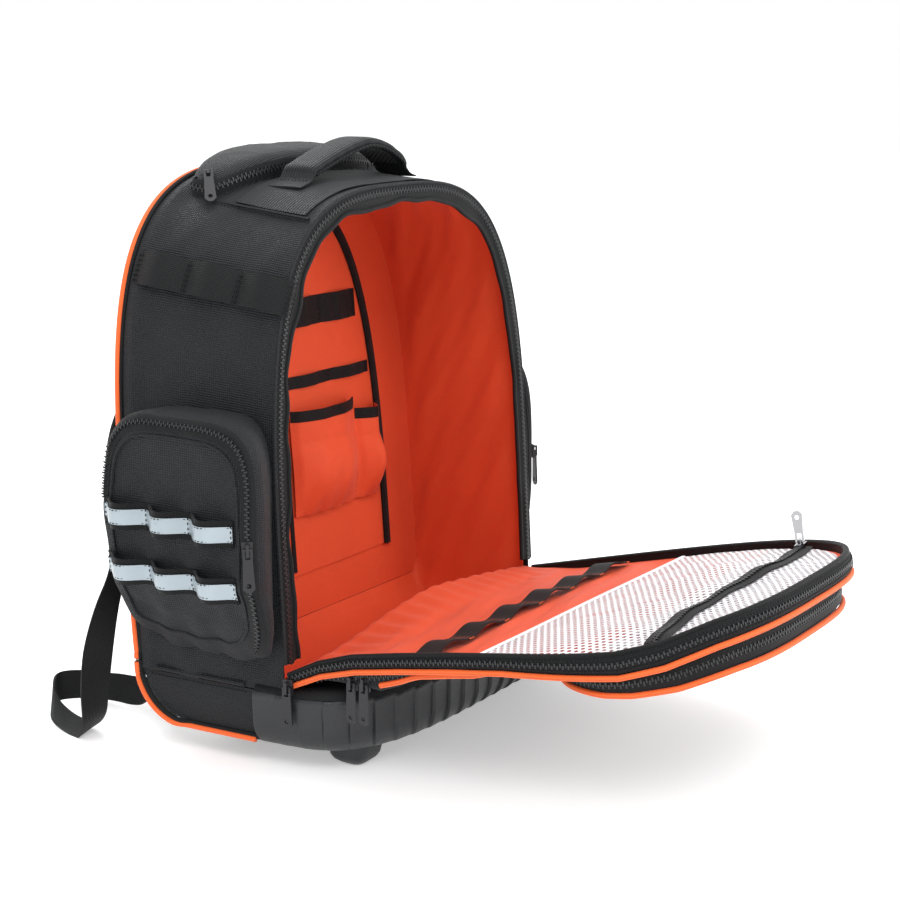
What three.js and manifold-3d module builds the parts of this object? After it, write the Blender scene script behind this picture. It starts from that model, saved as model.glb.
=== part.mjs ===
// A tool backpack standing on its moulded base with its front door folded out flat.
// Millimetres, +Z up. The opening faces -Y, and the wearer's back would be against +Y.
import * as THREE from "three";
import { mergeVertices } from "three/addons/utils/BufferGeometryUtils.js";
import Module from "manifold-3d";

const wasm = await Module();
wasm.setup();

// Gap kept between pieces that touch.
const CLEARANCE = 0.3;

// The bag: an arched box, its outline given at the front opening and grown towards the back.
const BODY = {
  width: 375, // across the opening at its sill
  height: 373, // sill to crown of the opening
  depth: 141, // opening to back panel at the sill
  sill: 81.5, // sill above the floor
  bottom: 25, // underside above the floor
  straight: 10, // straight side above the sill before the arch begins
  squareness: 3.17, // power of the arch: 2 is a plain ellipse
  shoulder: 0.09, // share by which the outline widens at the crown
  waist: -0.03, // share by which it narrows half way up
  frontLean: 0.05, // how far the opening leans back for each unit of height
  rearLean: 0.07,
  rearGrowth: 12, // how far the back stands outside the opening all round
  rearCorner: 42, // radius of the lower rear corner
  tuck: 5.5, // how far its lower edges are drawn in
  wall: 2.5,
};
const SEAM_HEIGHT = 66.6; // seam between the upper gusset and the bottom panel
const LINING_WALL = 1.2;
const LINING_SILL_DROP = 8; // lining's front wall below the sill
const LINING_SILL_LEAN = 2; // how far that wall leans back at its top
const BACK_PAD = { thickness: 9, margin: 12, crown: 5 };

// The moulded base: a tub, D-shaped in plan, that bows out in front of the opening.
const BASE = {
  halfWidth: 190,
  rear: -42, // where its side walls end
  front: -151.5,
  squareness: 3.4,
  wall: 3.4,
  top: 66.3,
  under: 19.5, // underside of its floor
  floor: 4,
  plateRear: 58, // rear edge of the plate that carries the rear feet
  plateInset: 62,
  ribs: 23,
  ribProud: 2.4,
};
const FOOT = { height: 19.5, top: 39, bottom: 22, frontX: 131, frontY: -98, rearX: 88, rearY: 34 };
const TAPE = { height: 8.4, inset: 6, wall: 1.8 };
const SILL_PANEL_WALL = 1.8;

// The door: the same arch as the opening, hinged on the sill and lying out in front.
const DOOR = {
  tilt: 14.5, // degrees above level
  rim: 14.5, // height of the zipped rim
  rimWall: 2.8,
  panel: 2.5,
  panelInset: 3,
  liningDrop: 7, // lining below the rim's top edge
  hingeGap: 5, // hinge line to the first row of the panel
  foldRise: 19, // how far the lining bulges over the sill
};
const UPPER_POCKET = { from: 212, inset: 13, nearDepth: 12, farDepth: 29, corner: 60, wall: 2.2 };
const LOWER_POCKET = { from: 24, to: 184, inset: 9, wedge: 17, least: 1.4 };
const PIPING = { radius: 2.3, sides: 5 };
const ZIP_FLANGE = { width: 15, wall: 2.6 };

const SIDE_POCKET = {
  rear: BODY.depth / 2 + 3.5,
  front: -BODY.depth / 2 - 11.5,
  top: 289,
  bottom: 93,
  full: { reach: 47, follow: 0, back: 0 }, // the left pocket stands out with a flat face
  flat: { reach: 10, follow: 1, back: 13 }, // the right one is empty and lies along the flank
  corner: 4.4, // squareness of its outline
  wall: 2.2,
};
const WEBBING = { width: 25, wall: 1.7 };
const LOOP_BAND = { width: 21, wall: 1.8, bulge: 14, slope: 0.02 };
// Middle of each row of loops above the floor, and how far its tacks sink into the pocket's face.
const LOOP_ROWS = [
  { name: "upper", middle: 209, sunk: 2 },
  { name: "lower", middle: 164, sunk: 2.9 },
];
const REFLECTIVE = { width: 12, wall: 0.8 };
const DAISY = { rearHeight: 392, frontHeight: 375.5, bulge: 3.4 };

const TOP_PANEL = { halfLength: 116, front: -44, rear: 26, wall: 1 };
const TOP_POCKET = { halfLength: 118, front: 30, rear: 92, height: 20, wall: 2.2, corner: 2.7 };
const HANDLE = { halfSpan: 84, rise: 29, width: 35, wall: 8.5, anchor: 3.5, y: 2 };

const ORGANIZER = {
  halfWidth: 148,
  bottom: 96,
  top: 440,
  wall: 1.4,
  gap: 0.4, // in front of the back lining
  binding: 9,
  bindingWall: 2.2,
  tape: 5,
};
const ELASTIC = [
  { name: "organizer_elastic_upper", height: 333, width: 26 },
  { name: "organizer_elastic_lower", height: 271, width: 11 },
];
const ORGANIZER_POCKET = {
  bottom: 150,
  top: 246,
  drop: 11,
  bulge: 26,
  wall: 1.4,
  inner: 5,
  split: 96,
  outer: 134,
};
const TOOL_BAND = { near: 127, far: 107, width: 21, wall: 1.8, bulge: 3.4, loops: 6, margin: 14 };
const MESH = { from: 172, wall: 1, inset: 5, zipAt: 306, zipWidth: 17, zipWall: 1.6 };

const STRAP = { width: 62, tipWidth: 46, wall: 12 };
const LADDER_LOCK = { width: 36, height: 26, wall: 4.5, slot: 5, bar: 4 };

const SLIDER = { width: 8.4, length: 12.5, thick: 3.2, bridge: 2.4, bridgeWall: 1.3 };
const PULL = { length: 33, width: 9.5, neck: 7.6, wall: 1.6, bar: 1.7, window: 7, hole: 4.2 };
const PULL_LIFT = 3.4; // hinge line above the slider's back

const ARCH_STEPS = 16;
const SECTION_SHARES = [0, 0.7, 0.81, 0.91, 0.97, 1];

// Finishes, taken up by name.
const finish = (color, roughness, metalness = 0) =>
  new THREE.MeshStandardMaterial({ color, roughness, metalness });
const FINISH = {
  cordura: finish(0x25272a, 0.85),
  ripstop: finish(0x212325, 0.85),
  orangeLining: finish(0xf0592a, 0.8),
  orangePiping: finish(0xff6b2c, 0.6),
  moulded: finish(0x2c3033, 0.55),
  blackTape: finish(0x17181a, 0.8),
  elastic: finish(0x141415, 0.85),
  reflective: finish(0xa9b4b8, 0.4),
  mesh: finish(0xe9e6e8, 0.8),
  spacerMesh: finish(0x1c1d1f, 0.95),
  blackMetal: finish(0x191a1b, 0.4, 0.6),
  brightMetal: finish(0xb8b9bb, 0.3, 0.9),
  buckle: finish(0x151617, 0.4),
};

const { lerp, degToRad } = THREE.MathUtils;
const vec = (x, y, z) => new THREE.Vector3(x, y, z);
const count = (n) => Array.from({ length: n }, (_, i) => i);
const shares = (n) => count(n + 1).map((i) => i / n);
const smooth = (t) => THREE.MathUtils.smoothstep(t, 0, 1);

// Reads a value from a table of rows that name their place and their value, straight between rows.
function tableAt(table, place, key) {
  const after = table.findIndex((row) => row.at >= place);
  if (after === -1) return table[table.length - 1][key];
  if (after === 0) return table[0][key];
  const [a, b] = [table[after - 1], table[after]];
  return lerp(a[key], b[key], (place - a.at) / (b.at - a.at));
}

// A closed mesh from points and four-sided faces, turned to face outwards.
function closedMesh(points, quads) {
  const triangles = quads.flatMap(([a, b, c, d]) => [
    [a, b, c],
    [a, c, d],
  ]);
  const volume = triangles.reduce((sum, [a, b, c]) => {
    return sum + points[a].dot(points[b].clone().cross(points[c]));
  }, 0);
  const index = triangles.flatMap(([a, b, c]) => (volume < 0 ? [a, c, b] : [a, b, c]));
  const geometry = new THREE.BufferGeometry().setFromPoints(points);
  geometry.setIndex(index);
  return geometry;
}

// A wall between two grids of points that have as many rows and columns as each other.
function wallBetween(face, back) {
  const rows = face.length;
  const cols = face[0].length;
  const points = [...face.flat(), ...back.flat()];
  const at = (layer, i, j) => (layer * rows + i) * cols + j;
  const quads = [];
  for (let i = 0; i < rows - 1; i++) {
    for (let j = 0; j < cols - 1; j++) {
      quads.push([at(0, i, j), at(0, i, j + 1), at(0, i + 1, j + 1), at(0, i + 1, j)]);
      quads.push([at(1, i, j), at(1, i + 1, j), at(1, i + 1, j + 1), at(1, i, j + 1)]);
    }
  }
  for (let j = 0; j < cols - 1; j++) {
    quads.push([at(0, 0, j), at(1, 0, j), at(1, 0, j + 1), at(0, 0, j + 1)]);
    quads.push([at(0, rows - 1, j + 1), at(1, rows - 1, j + 1), at(1, rows - 1, j), at(0, rows - 1, j)]);
  }
  for (let i = 0; i < rows - 1; i++) {
    quads.push([at(0, i + 1, 0), at(1, i + 1, 0), at(1, i, 0), at(0, i, 0)]);
    quads.push([at(0, i, cols - 1), at(1, i, cols - 1), at(1, i + 1, cols - 1), at(0, i + 1, cols - 1)]);
  }
  return closedMesh(points, quads);
}

// The grid moved along its own normals. Where the grid turns, neighbouring differences give the normal.
function offsetGrid(grid, distance) {
  const rows = grid.length;
  const cols = grid[0].length;
  return grid.map((row, i) =>
    row.map((point, j) => {
      const along = grid[Math.min(i + 1, rows - 1)][j].clone().sub(grid[Math.max(i - 1, 0)][j]);
      const across = row[Math.min(j + 1, cols - 1)].clone().sub(row[Math.max(j - 1, 0)]);
      return point.clone().addScaledVector(along.cross(across).normalize(), distance);
    }),
  );
}

const sheet = (grid, wall) => wallBetween(grid, offsetGrid(grid, wall));
const layer = (grid, from, to) => wallBetween(offsetGrid(grid, from), offsetGrid(grid, to));

// A solid through closed outlines that have as many points as each other, capped at both ends.
function loft(outlines) {
  const n = outlines[0].length;
  const points = outlines.flat();
  const quads = [];
  for (let k = 0; k < outlines.length - 1; k++) {
    for (let i = 0; i < n; i++) {
      const next = (i + 1) % n;
      quads.push([k * n + i, k * n + next, (k + 1) * n + next, (k + 1) * n + i]);
    }
  }
  const centre = (outline) => outline.reduce((sum, p) => sum.add(p), vec(0, 0, 0)).divideScalar(n);
  const last = (outlines.length - 1) * n;
  points.push(centre(outlines[0]), centre(outlines[outlines.length - 1]));
  for (let i = 0; i < n; i++) {
    const next = (i + 1) % n;
    quads.push([points.length - 2, next, i, i]);
    quads.push([points.length - 1, last + i, last + next, last + next]);
  }
  return closedMesh(points, quads);
}

// A round cord of stitched piping along a smooth path.
function piping(points, radius = PIPING.radius, steps = 2 * points.length) {
  const section = new THREE.Shape(
    count(PIPING.sides).map((k) => {
      const turn = (2 * Math.PI * k) / PIPING.sides;
      return new THREE.Vector2(radius * Math.cos(turn), radius * Math.sin(turn));
    }),
  );
  const extrudePath = new THREE.CatmullRomCurve3(points);
  return new THREE.ExtrudeGeometry(section, { steps, extrudePath, bevelEnabled: false });
}

// A flat ribbon through rows that name a centre and the direction across it.
function ribbon(rows, width, wall) {
  const grid = rows.map(({ centre, across }) => {
    const half = across.clone().setLength(width / 2);
    return [centre.clone().sub(half), centre.clone().add(half)];
  });
  return layer(grid, -wall / 2, wall / 2);
}

// Joining and cutting of closed meshes.
function solidOf(geometry) {
  const plain = new THREE.BufferGeometry().setAttribute("position", geometry.getAttribute("position"));
  plain.setIndex(geometry.getIndex());
  const merged = mergeVertices(plain, 1e-4);
  return new wasm.Manifold(
    new wasm.Mesh({
      numProp: 3,
      vertProperties: merged.getAttribute("position").array,
      triVerts: new Uint32Array(merged.getIndex().array),
    }),
  );
}
function mirrored(geometry) {
  const copy = geometry.clone().scale(-1, 1, 1);
  const index = Array.from(copy.getIndex().array);
  return copy.setIndex(index.map((_, i) => index[i - (i % 3) + 2 - (i % 3)]));
}
function geometryOf(solid) {
  const mesh = solid.getMesh();
  const geometry = new THREE.BufferGeometry();
  geometry.setAttribute("position", new THREE.BufferAttribute(mesh.vertProperties, 3));
  return geometry.setIndex(new THREE.BufferAttribute(mesh.triVerts, 1));
}
const box = (low, high) => {
  const size = high.clone().sub(low);
  const middle = low.clone().add(high).divideScalar(2);
  return solidOf(new THREE.BoxGeometry(size.x, size.y, size.z).translate(middle.x, middle.y, middle.z));
};
const FAR = 2000;
const above = (z) => box(vec(-FAR, -FAR, z), vec(FAR, FAR, FAR));
const behind = (y) => box(vec(-FAR, y, -FAR), vec(FAR, FAR, FAR));

// Half width of the arch at a height above the sill.
function archHalfWidth(s, halfWidth, height) {
  const share = THREE.MathUtils.clamp(s / height, 0, 1);
  const flare = 1 + BODY.shoulder * share + BODY.waist * 4 * share * (1 - share);
  const rise = Math.max(0, (s - BODY.straight) / (height - BODY.straight));
  return halfWidth * flare * Math.max(0, 1 - rise ** BODY.squareness) ** (1 / BODY.squareness);
}

// The arch from its left foot over the crown to its right foot: x across, s above the sill.
function arch(inset = 0, steps = ARCH_STEPS) {
  const halfWidth = BODY.width / 2 - inset;
  const height = BODY.height - inset;
  return shares(steps).map((t) => {
    const turn = Math.PI * t;
    const s = BODY.straight + (height - BODY.straight) * Math.sin(turn) ** (2 / BODY.squareness);
    const side = Math.abs(Math.cos(turn)) < 1e-9 ? 0 : -Math.sign(Math.cos(turn));
    const flare = archHalfWidth(s, halfWidth, height);
    return { x: side * flare, s };
  });
}

// Depth of the bag's surface: share 0 is the opening, 1 is the back.
const depthAt = (s, share) => {
  const up = Math.max(s, 0);
  return lerp(-BODY.depth / 2 + BODY.frontLean * up, BODY.depth / 2 + BODY.rearLean * up, share);
};

// How far the underside has risen into the lower rear corner, for a wall that lies inset from the surface.
function cornerRise(share, inset) {
  const reach = THREE.MathUtils.clamp(BODY.rearCorner - (1 - share) * BODY.depth, 0, BODY.rearCorner);
  return BODY.rearCorner - Math.sqrt(Math.max(0, (BODY.rearCorner - inset) ** 2 - reach ** 2));
}

// One closed outline of the bag across its width, at a share of its depth.
function bodyOutline(share, inset) {
  const corner = SECTION_SHARES.map((at) => ({ at, rise: cornerRise(at, inset) }));
  const low = BODY.bottom + tableAt(corner, share, "rise") - BODY.sill;
  const outline = arch(inset - BODY.rearGrowth * share);
  const half = outline[outline.length - 1].x;
  const side = [
    { x: half - BODY.tuck, s: low },
    { x: half, s: lerp(low, 0, 0.5) },
    { x: half, s: 0 },
  ];
  const loop = [...side.map(({ x, s }) => ({ x: -x, s })), ...outline, ...side.toReversed()];
  return loop.map(({ x, s }) => vec(x, depthAt(s, share), BODY.sill + s));
}
const bodySolid = (inset, from = 0, to = 1) => {
  const between = SECTION_SHARES.filter((share) => share > from + 0.01 && share < to - 0.01);
  return solidOf(loft([from, ...between, to].map((share) => bodyOutline(share, inset))));
};

// A point on the bag's left flank, lifted along the outward normal.
function flank(y, z, lift = 0) {
  const place = (py, pz) => {
    const s = pz - BODY.sill;
    const share = (py - depthAt(s, 0)) / (depthAt(s, 1) - depthAt(s, 0));
    const grown = BODY.rearGrowth * share;
    return vec(-archHalfWidth(s, BODY.width / 2 + grown, BODY.height + grown), py, pz);
  };
  const here = place(y, z);
  const normal = place(y, z + 1).sub(here).cross(place(y + 1, z).sub(here)).normalize();
  if (normal.x > 0) normal.negate();
  return here.addScaledVector(normal, lift);
}

// Height of the bag's top surface.
function crown(x, y) {
  let s = BODY.height;
  for (let pass = 0; pass < 4; pass++) {
    const share = (y - depthAt(s, 0)) / (depthAt(s, 1) - depthAt(s, 0));
    const grown = BODY.rearGrowth * share;
    const reach = Math.abs(x) / ((BODY.width / 2 + grown) * (1 + BODY.shoulder));
    const rise = Math.max(0, 1 - reach ** BODY.squareness) ** (1 / BODY.squareness);
    s = BODY.straight + (BODY.height + grown - BODY.straight) * rise;
  }
  return BODY.sill + s;
}

const root = new THREE.Group();
function add(name, geometry, material, parent = root) {
  const mesh = new THREE.Mesh(geometry, material);
  mesh.name = name;
  parent.add(mesh);
  return mesh;
}

// Upper gusset and bottom panel: one wall round the bag, open at the front and the back.
const outerBody = bodySolid(0);
const hollowBody = bodySolid(BODY.wall, -0.1, 1.1);
const bodyWall = outerBody.subtract(hollowBody);
add("body_gusset", geometryOf(bodyWall.intersect(above(SEAM_HEIGHT + CLEARANCE))), FINISH.cordura);
add(
  "bottom_panel",
  geometryOf(bodyWall.subtract(above(SEAM_HEIGHT)).intersect(behind(BASE.rear + CLEARANCE))),
  FINISH.ripstop,
);

// Orange lining: floor, sides, crown, back and the low wall behind the sill.
const liningInset = BODY.wall + CLEARANCE;
const liningFront = 0.03;
const liningRear = 0.97;
const liningShare = LINING_WALL / BODY.depth;
const lining = bodySolid(liningInset, liningFront, liningRear)
  .subtract(bodySolid(liningInset + LINING_WALL, liningFront + liningShare, liningRear - liningShare))
  .subtract(
    bodySolid(liningInset + LINING_WALL, liningFront - liningShare, liningFront + 2 * liningShare).intersect(
      above(BODY.sill - LINING_SILL_DROP),
    ),
  );
add("lining", geometryOf(lining), FINISH.orangeLining);

// Padded back: closes the rear of the bag and stands proud of its edge.
function backOutline(lift, inset) {
  return bodyOutline(1, inset).map((p) => {
    p.y += lift;
    return p;
  });
}
const backSeat = backOutline(CLEARANCE, BODY.wall);
add(
  "back_panel",
  loft([
    backSeat,
    backOutline(BACK_PAD.thickness - BACK_PAD.crown, BODY.wall),
    backOutline(BACK_PAD.thickness, BACK_PAD.margin),
    backOutline(BACK_PAD.thickness + 1, 3 * BACK_PAD.margin),
  ]),
  FINISH.spacerMesh,
);

// Rear piping: from the base along the lower edge, round the corner, over the crown and back down.
function rearPipingPath() {
  const stand = PIPING.radius + CLEARANCE + 0.2;
  const low = BODY.bottom + BODY.rearCorner;
  const cornerY = BODY.depth / 2 - BODY.rearCorner;
  const edge = (share) => BODY.width / 2 + BODY.rearGrowth * share;
  const lowEdge = (y) => {
    const share = (y + BODY.depth / 2) / BODY.depth;
    return vec(BODY.tuck - edge(share) - 0.75 * stand, y, BODY.bottom - 0.75 * stand);
  };
  const corner = [0.35, 0.7].map((t) => {
    const turn = (t * Math.PI) / 2;
    const y = cornerY + (BODY.rearCorner + 0.7 * stand) * Math.sin(turn);
    const z = low - (BODY.rearCorner + 0.7 * stand) * Math.cos(turn);
    return vec(BODY.tuck * (1 - t) - edge(0.97) - 0.8 * stand, y, z);
  });
  const start = BASE.rear + 2 * CLEARANCE + 1;
  const left = [lowEdge(start), lowEdge(lerp(start, cornerY, 0.5)), lowEdge(cornerY), ...corner];
  const upright = [low, BODY.sill].map((z) => {
    const y = depthAt(z - BODY.sill, 1);
    return vec(-edge(1) - 0.8 * stand, y + 0.4 * stand, z);
  });
  const over = arch(-BODY.rearGrowth - 0.9 * stand).map(({ x, s }) => {
    return vec(x, depthAt(s, 1) + 0.4 * stand, BODY.sill + s);
  });
  const half = [...left, ...upright];
  return [...half, ...over, ...half.map((p) => vec(-p.x, p.y, p.z)).toReversed()];
}
add("rear_piping", piping(rearPipingPath(), PIPING.radius, 44), FINISH.orangePiping);

// Zipped flange round the opening.
function openingFlange() {
  const foot = { x: -BODY.width / 2, s: 8 };
  const ring = (inset, lift) => {
    const points = [{ x: foot.x + inset, s: foot.s }, ...arch(inset), { x: -foot.x - inset, s: foot.s }];
    return points.map(({ x, s }) => vec(x, depthAt(s, 0) - lift, BODY.sill + s));
  };
  const outer = 0.2;
  const inner = ZIP_FLANGE.width;
  return wallBetween(
    [ring(outer, CLEARANCE), ring(inner, CLEARANCE)],
    [ring(outer, CLEARANCE + ZIP_FLANGE.wall), ring(inner, CLEARANCE + ZIP_FLANGE.wall)],
  );
}
add("opening_zip", openingFlange(), FINISH.blackTape);

// Base tub. Its plan is half of a squared ellipse, walked at even steps along its length.
function basePlan(inset, steps) {
  const halfWidth = BASE.halfWidth - inset;
  const reach = BASE.rear - BASE.front - inset;
  const fine = shares(400).map((t) => {
    const turn = Math.PI * t;
    const x = -Math.sign(Math.cos(turn)) * Math.abs(Math.cos(turn)) ** (2 / BASE.squareness) * halfWidth;
    const y = BASE.rear - reach * Math.sin(turn) ** (2 / BASE.squareness);
    return new THREE.Vector2(x, y);
  });
  const run = [0];
  fine.slice(1).forEach((p, i) => run.push(run[i] + p.distanceTo(fine[i])));
  return steps.map((share) => {
    const target = share * run[run.length - 1];
    const k = Math.max(1, run.findIndex((length) => length >= target));
    const point = fine[k - 1].clone().lerp(fine[k], (target - run[k - 1]) / (run[k] - run[k - 1]));
    point.x += Math.sign(point.x) * BODY.rearGrowth * Math.max(0, 0.5 + point.y / BODY.depth);
    return point;
  });
}

// Section of the base wall: height above the floor, how far it lies inside the plan,
// and how proud its ribs are.
const BASE_SECTION = [
  { z: BASE.under, inset: 14, rib: 0.3 },
  { z: BASE.under + 5, inset: 8, rib: 1 },
  { z: BASE.under + 14, inset: 3, rib: 1 },
  { z: BASE.top, inset: 0, rib: 0.35 },
];
function baseWall() {
  const steps = count(BASE.ribs).flatMap((k) => [k / BASE.ribs, (k + 0.96) / BASE.ribs]);
  steps[steps.length - 1] = 1;
  const outer = BASE_SECTION.map(({ z, inset, rib }) =>
    steps.map((share, i) => {
      const proud = i % 2 ? 0 : rib * BASE.ribProud;
      const [point] = basePlan(inset - proud, [share]);
      return vec(point.x, point.y, z);
    }),
  );
  const inner = BASE_SECTION.map(({ z, inset }) =>
    steps.map((share) => {
      const [point] = basePlan(inset + BASE.wall, [share]);
      return vec(point.x, point.y, z);
    }),
  );
  return solidOf(wallBetween(outer, inner));
}
function basePlate() {
  const front = basePlan(BASE_SECTION[0].inset + 1, shares(20));
  const side = BASE.halfWidth - BASE.plateInset;
  const outline = new THREE.Shape([
    ...front,
    new THREE.Vector2(side, BASE.rear + 12),
    new THREE.Vector2(side, BASE.plateRear - 14),
    new THREE.Vector2(side - 14, BASE.plateRear),
    new THREE.Vector2(14 - side, BASE.plateRear),
    new THREE.Vector2(-side, BASE.plateRear - 14),
    new THREE.Vector2(-side, BASE.rear + 12),
  ]);
  const plate = new THREE.ExtrudeGeometry(outline, { depth: BASE.floor, bevelEnabled: false });
  return solidOf(plate.translate(0, 0, BASE.under));
}
function foot(x, y) {
  const square = (size, z) => {
    const [a, b] = [size / 2, size * 0.28];
    const corners = [[-a, -b], [-b, -a], [b, -a], [a, -b], [a, b], [b, a], [-b, a], [-a, b]];
    return corners.map(([cx, cy]) => vec(x + cx, y + cy, z));
  };
  return solidOf(
    loft([
      square(FOOT.bottom, 0),
      square(lerp(FOOT.bottom, FOOT.top, 0.75), 6),
      square(FOOT.top, FOOT.height + 1),
    ]),
  );
}
const feet = [
  foot(-FOOT.frontX, FOOT.frontY),
  foot(FOOT.frontX, FOOT.frontY),
  foot(-FOOT.rearX, FOOT.rearY),
  foot(FOOT.rearX, FOOT.rearY),
];
const base = feet.reduce((whole, one) => whole.add(one), baseWall().add(basePlate()));
add("base_boot", geometryOf(base), FINISH.moulded);

// Bound tape along the base's upper edge, and the panel that covers the bow in front of the sill.
// The tape is narrower beside the hinge, where the door lies close above it.
const tapeTop = (y) => {
  const out = THREE.MathUtils.clamp((-BODY.depth / 2 - 4 - y) / 36, 0, 1);
  return BASE.top + TAPE.height * lerp(0.55, 1, smooth(out));
};
function baseTape() {
  const steps = shares(24);
  const ring = (inset, rise, drop = 0) =>
    basePlan(inset, steps).map((p) => vec(p.x, p.y, lerp(BASE.top + CLEARANCE, tapeTop(p.y), rise) - drop));
  const { wall, inset } = TAPE;
  return wallBetween(
    [ring(0.2, 0), ring(1.5, 0.5), ring(inset, 1)],
    [ring(wall + 0.2, 0), ring(wall + 1.5, 0.4), ring(wall + inset, 1, 1)],
  );
}
const tapeSolid = solidOf(baseTape());
const clearOfBody = tapeSolid.subtract(bodySolid(-CLEARANCE, -0.004, 1.2));
add("base_tape", geometryOf(clearOfBody), FINISH.blackTape);

// Its top lies just below the tape's.
const sillHeight = (y) => tapeTop(y) - 1;
function sillPanel() {
  const back = -BODY.depth / 2 - CLEARANCE - 0.5;
  const edge = basePlan(TAPE.inset + TAPE.wall + CLEARANCE, shares(24)).filter((p) => p.y < back - 2);
  const row = (t, drop) =>
    edge.map((p) => {
      const y = lerp(back, p.y, t);
      return vec(p.x, y, sillHeight(y) - drop);
    });
  const stops = [0, 0.5, 1];
  return wallBetween(stops.map((t) => row(t, 0)), stops.map((t) => row(t, SILL_PANEL_WALL)));
}
add("sill_panel", sillPanel(), FINISH.cordura);

// The door. A point on it: s along it from the hinge, x across it, lift above its rim's top edge.
const DOOR_DIRECTION = vec(0, -Math.cos(degToRad(DOOR.tilt)), Math.sin(degToRad(DOOR.tilt)));
const DOOR_NORMAL = vec(0, Math.sin(degToRad(DOOR.tilt)), Math.cos(degToRad(DOOR.tilt)));
const HINGE = vec(0, -BODY.depth / 2, BODY.sill);
// How far the cloth of the edge nearer -X stands above its plane:
// both columns are shares of the door's length.
const NEAR_EDGE = [
  { at: 0, lift: 0 },
  { at: 0.1, lift: 0.023 },
  { at: 0.19, lift: 0.03 },
  { at: 0.3, lift: 0.025 },
  { at: 0.42, lift: 0.017 },
  { at: 0.54, lift: 0.005 },
  { at: 0.65, lift: -0.009 },
  { at: 0.77, lift: -0.023 },
  { at: 0.85, lift: -0.02 },
  { at: 0.93, lift: -0.002 },
  { at: 1, lift: 0.006 },
];
function doorPoint(s, x, lift) {
  const nearness = THREE.MathUtils.clamp((1 - x / (BODY.width / 2)) / 2, 0, 1) ** 1.4;
  const wave = BODY.height * tableAt(NEAR_EDGE, s / BODY.height, "lift") * nearness;
  const point = HINGE.clone().addScaledVector(DOOR_DIRECTION, s).addScaledVector(DOOR_NORMAL, wave + lift);
  point.x += x;
  return point;
}

// Rows of the arch from the hinge to a short straight edge at its crown: half width and distance.
// As many rows come back for every inset, so that two grids of the door can bound one wall.
const CROWN_SHARES = [0.4, 0.68, 0.87, 1];
function doorRows(inset, from = DOOR.hingeGap) {
  const height = BODY.height - inset;
  const last = 0.77 * BODY.height;
  const even = NEAR_EDGE.map(({ at }) => at * BODY.height).filter((s) => s > from + 12 && s <= last);
  const crownRows = CROWN_SHARES.map((share) => lerp(last, 0.995 * height, share));
  const widest = BODY.width / 2 - inset;
  return [from, ...even, ...crownRows].map((s) => ({ s, half: archHalfWidth(s, widest, height) }));
}
const ACROSS = [-1, -0.8, -0.45, 0, 0.5, 1];
const doorGrid = (inset, liftAt, from) =>
  doorRows(inset, from).map(({ s, half }) => ACROSS.map((t) => doorPoint(s, t * half, liftAt(s, t * half))));

// The rim is squashed low near the hinge and full at its outer end.
// Places are shares of the door's length, heights are shares of the rim's height.
const RIM_HEIGHTS = [
  { at: 0, height: 0.42 },
  { at: 0.19, height: 0.62 },
  { at: 0.54, height: 0.7 },
  { at: 0.77, height: 1 },
];
const rimHeight = (s) => DOOR.rim * tableAt(RIM_HEIGHTS, s / BODY.height, "height");
const rimPath = (inset) => {
  const side = doorRows(inset);
  return [
    ...side.map(({ s, half }) => ({ s, x: -half })),
    ...side.toReversed().map(({ s, half }) => ({ s, x: half })),
  ];
};
function doorRim() {
  const levels = [0, 0.5, 1];
  const grid = (inset, belly) =>
    levels.map((level) =>
      rimPath(inset - belly * Math.sin(Math.PI * level)).map(({ s, x }) =>
        doorPoint(s, x, -level * rimHeight(s)),
      ),
    );
  return wallBetween(grid(0, 1.2), grid(DOOR.rimWall, 0));
}
add("door_zip_rim", doorRim(), FINISH.blackTape);

const panelLift = (s) => -rimHeight(s) - CLEARANCE;
const doorPanel = wallBetween(
  doorGrid(DOOR.panelInset, panelLift),
  doorGrid(DOOR.panelInset, (s) => panelLift(s) - DOOR.panel),
);
add("door_panel", doorPanel, FINISH.cordura);

// Bulge of the lining where it rolls over the sill:
// both columns are shares, of the half width and of the rise.
const HINGE_FOLD = [
  { at: -1, rise: -0.2 },
  { at: -0.53, rise: 0.15 },
  { at: -0.16, rise: 0.75 },
  { at: 0.12, rise: 1 },
  { at: 0.4, rise: 0.78 },
  { at: 1, rise: 0.04 },
];
const foldRise = (x) => DOOR.foldRise * tableAt(HINGE_FOLD, x / (BODY.width / 2), "rise");
function doorLining() {
  const inset = DOOR.rimWall + CLEARANCE + 0.4;
  const fall = (s) => Math.exp(-Math.max(0, s - DOOR.hingeGap) / 55);
  const heel = (s) => lerp(0.2, 1, smooth(s / 60)) * DOOR.liningDrop;
  const lift = (s, x) => foldRise(x) * fall(s) - heel(s);
  const lying = doorGrid(inset, lift);
  // Roll over the sill: how far behind the hinge each row lies, its height below the crest and
  // how much narrower it is than the door on each side.
  const back = liningFront * BODY.depth + LINING_WALL + CLEARANCE + LINING_SILL_LEAN;
  const roll = [
    { back, z: (crest) => crest - 34, narrow: 14 },
    { back, z: (crest) => crest - 7, narrow: 14 },
    { back: 0.45 * back, z: (crest) => crest, narrow: 4 },
  ];
  const first = doorRows(inset)[0];
  const rolled = roll.map((row) =>
    ACROSS.map((t) => {
      const x = t * (first.half - row.narrow);
      return vec(x, HINGE.y + row.back, row.z(BODY.sill + foldRise(x)));
    }),
  );
  return [...rolled, ...lying];
}
add("door_lining", sheet(doorLining(), LINING_WALL), FINISH.orangeLining);
const doorLiningSpace = solidOf(layer(doorLining(), -3, LINING_WALL + CLEARANCE));

function doorPiping() {
  const path = rimPath(0).map(({ s, x }) => doorPoint(s, x, panelLift(s) - PIPING.radius - 0.4));
  return piping(path, PIPING.radius, 28);
}
add("door_piping", doorPiping(), FINISH.orangePiping);

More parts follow.
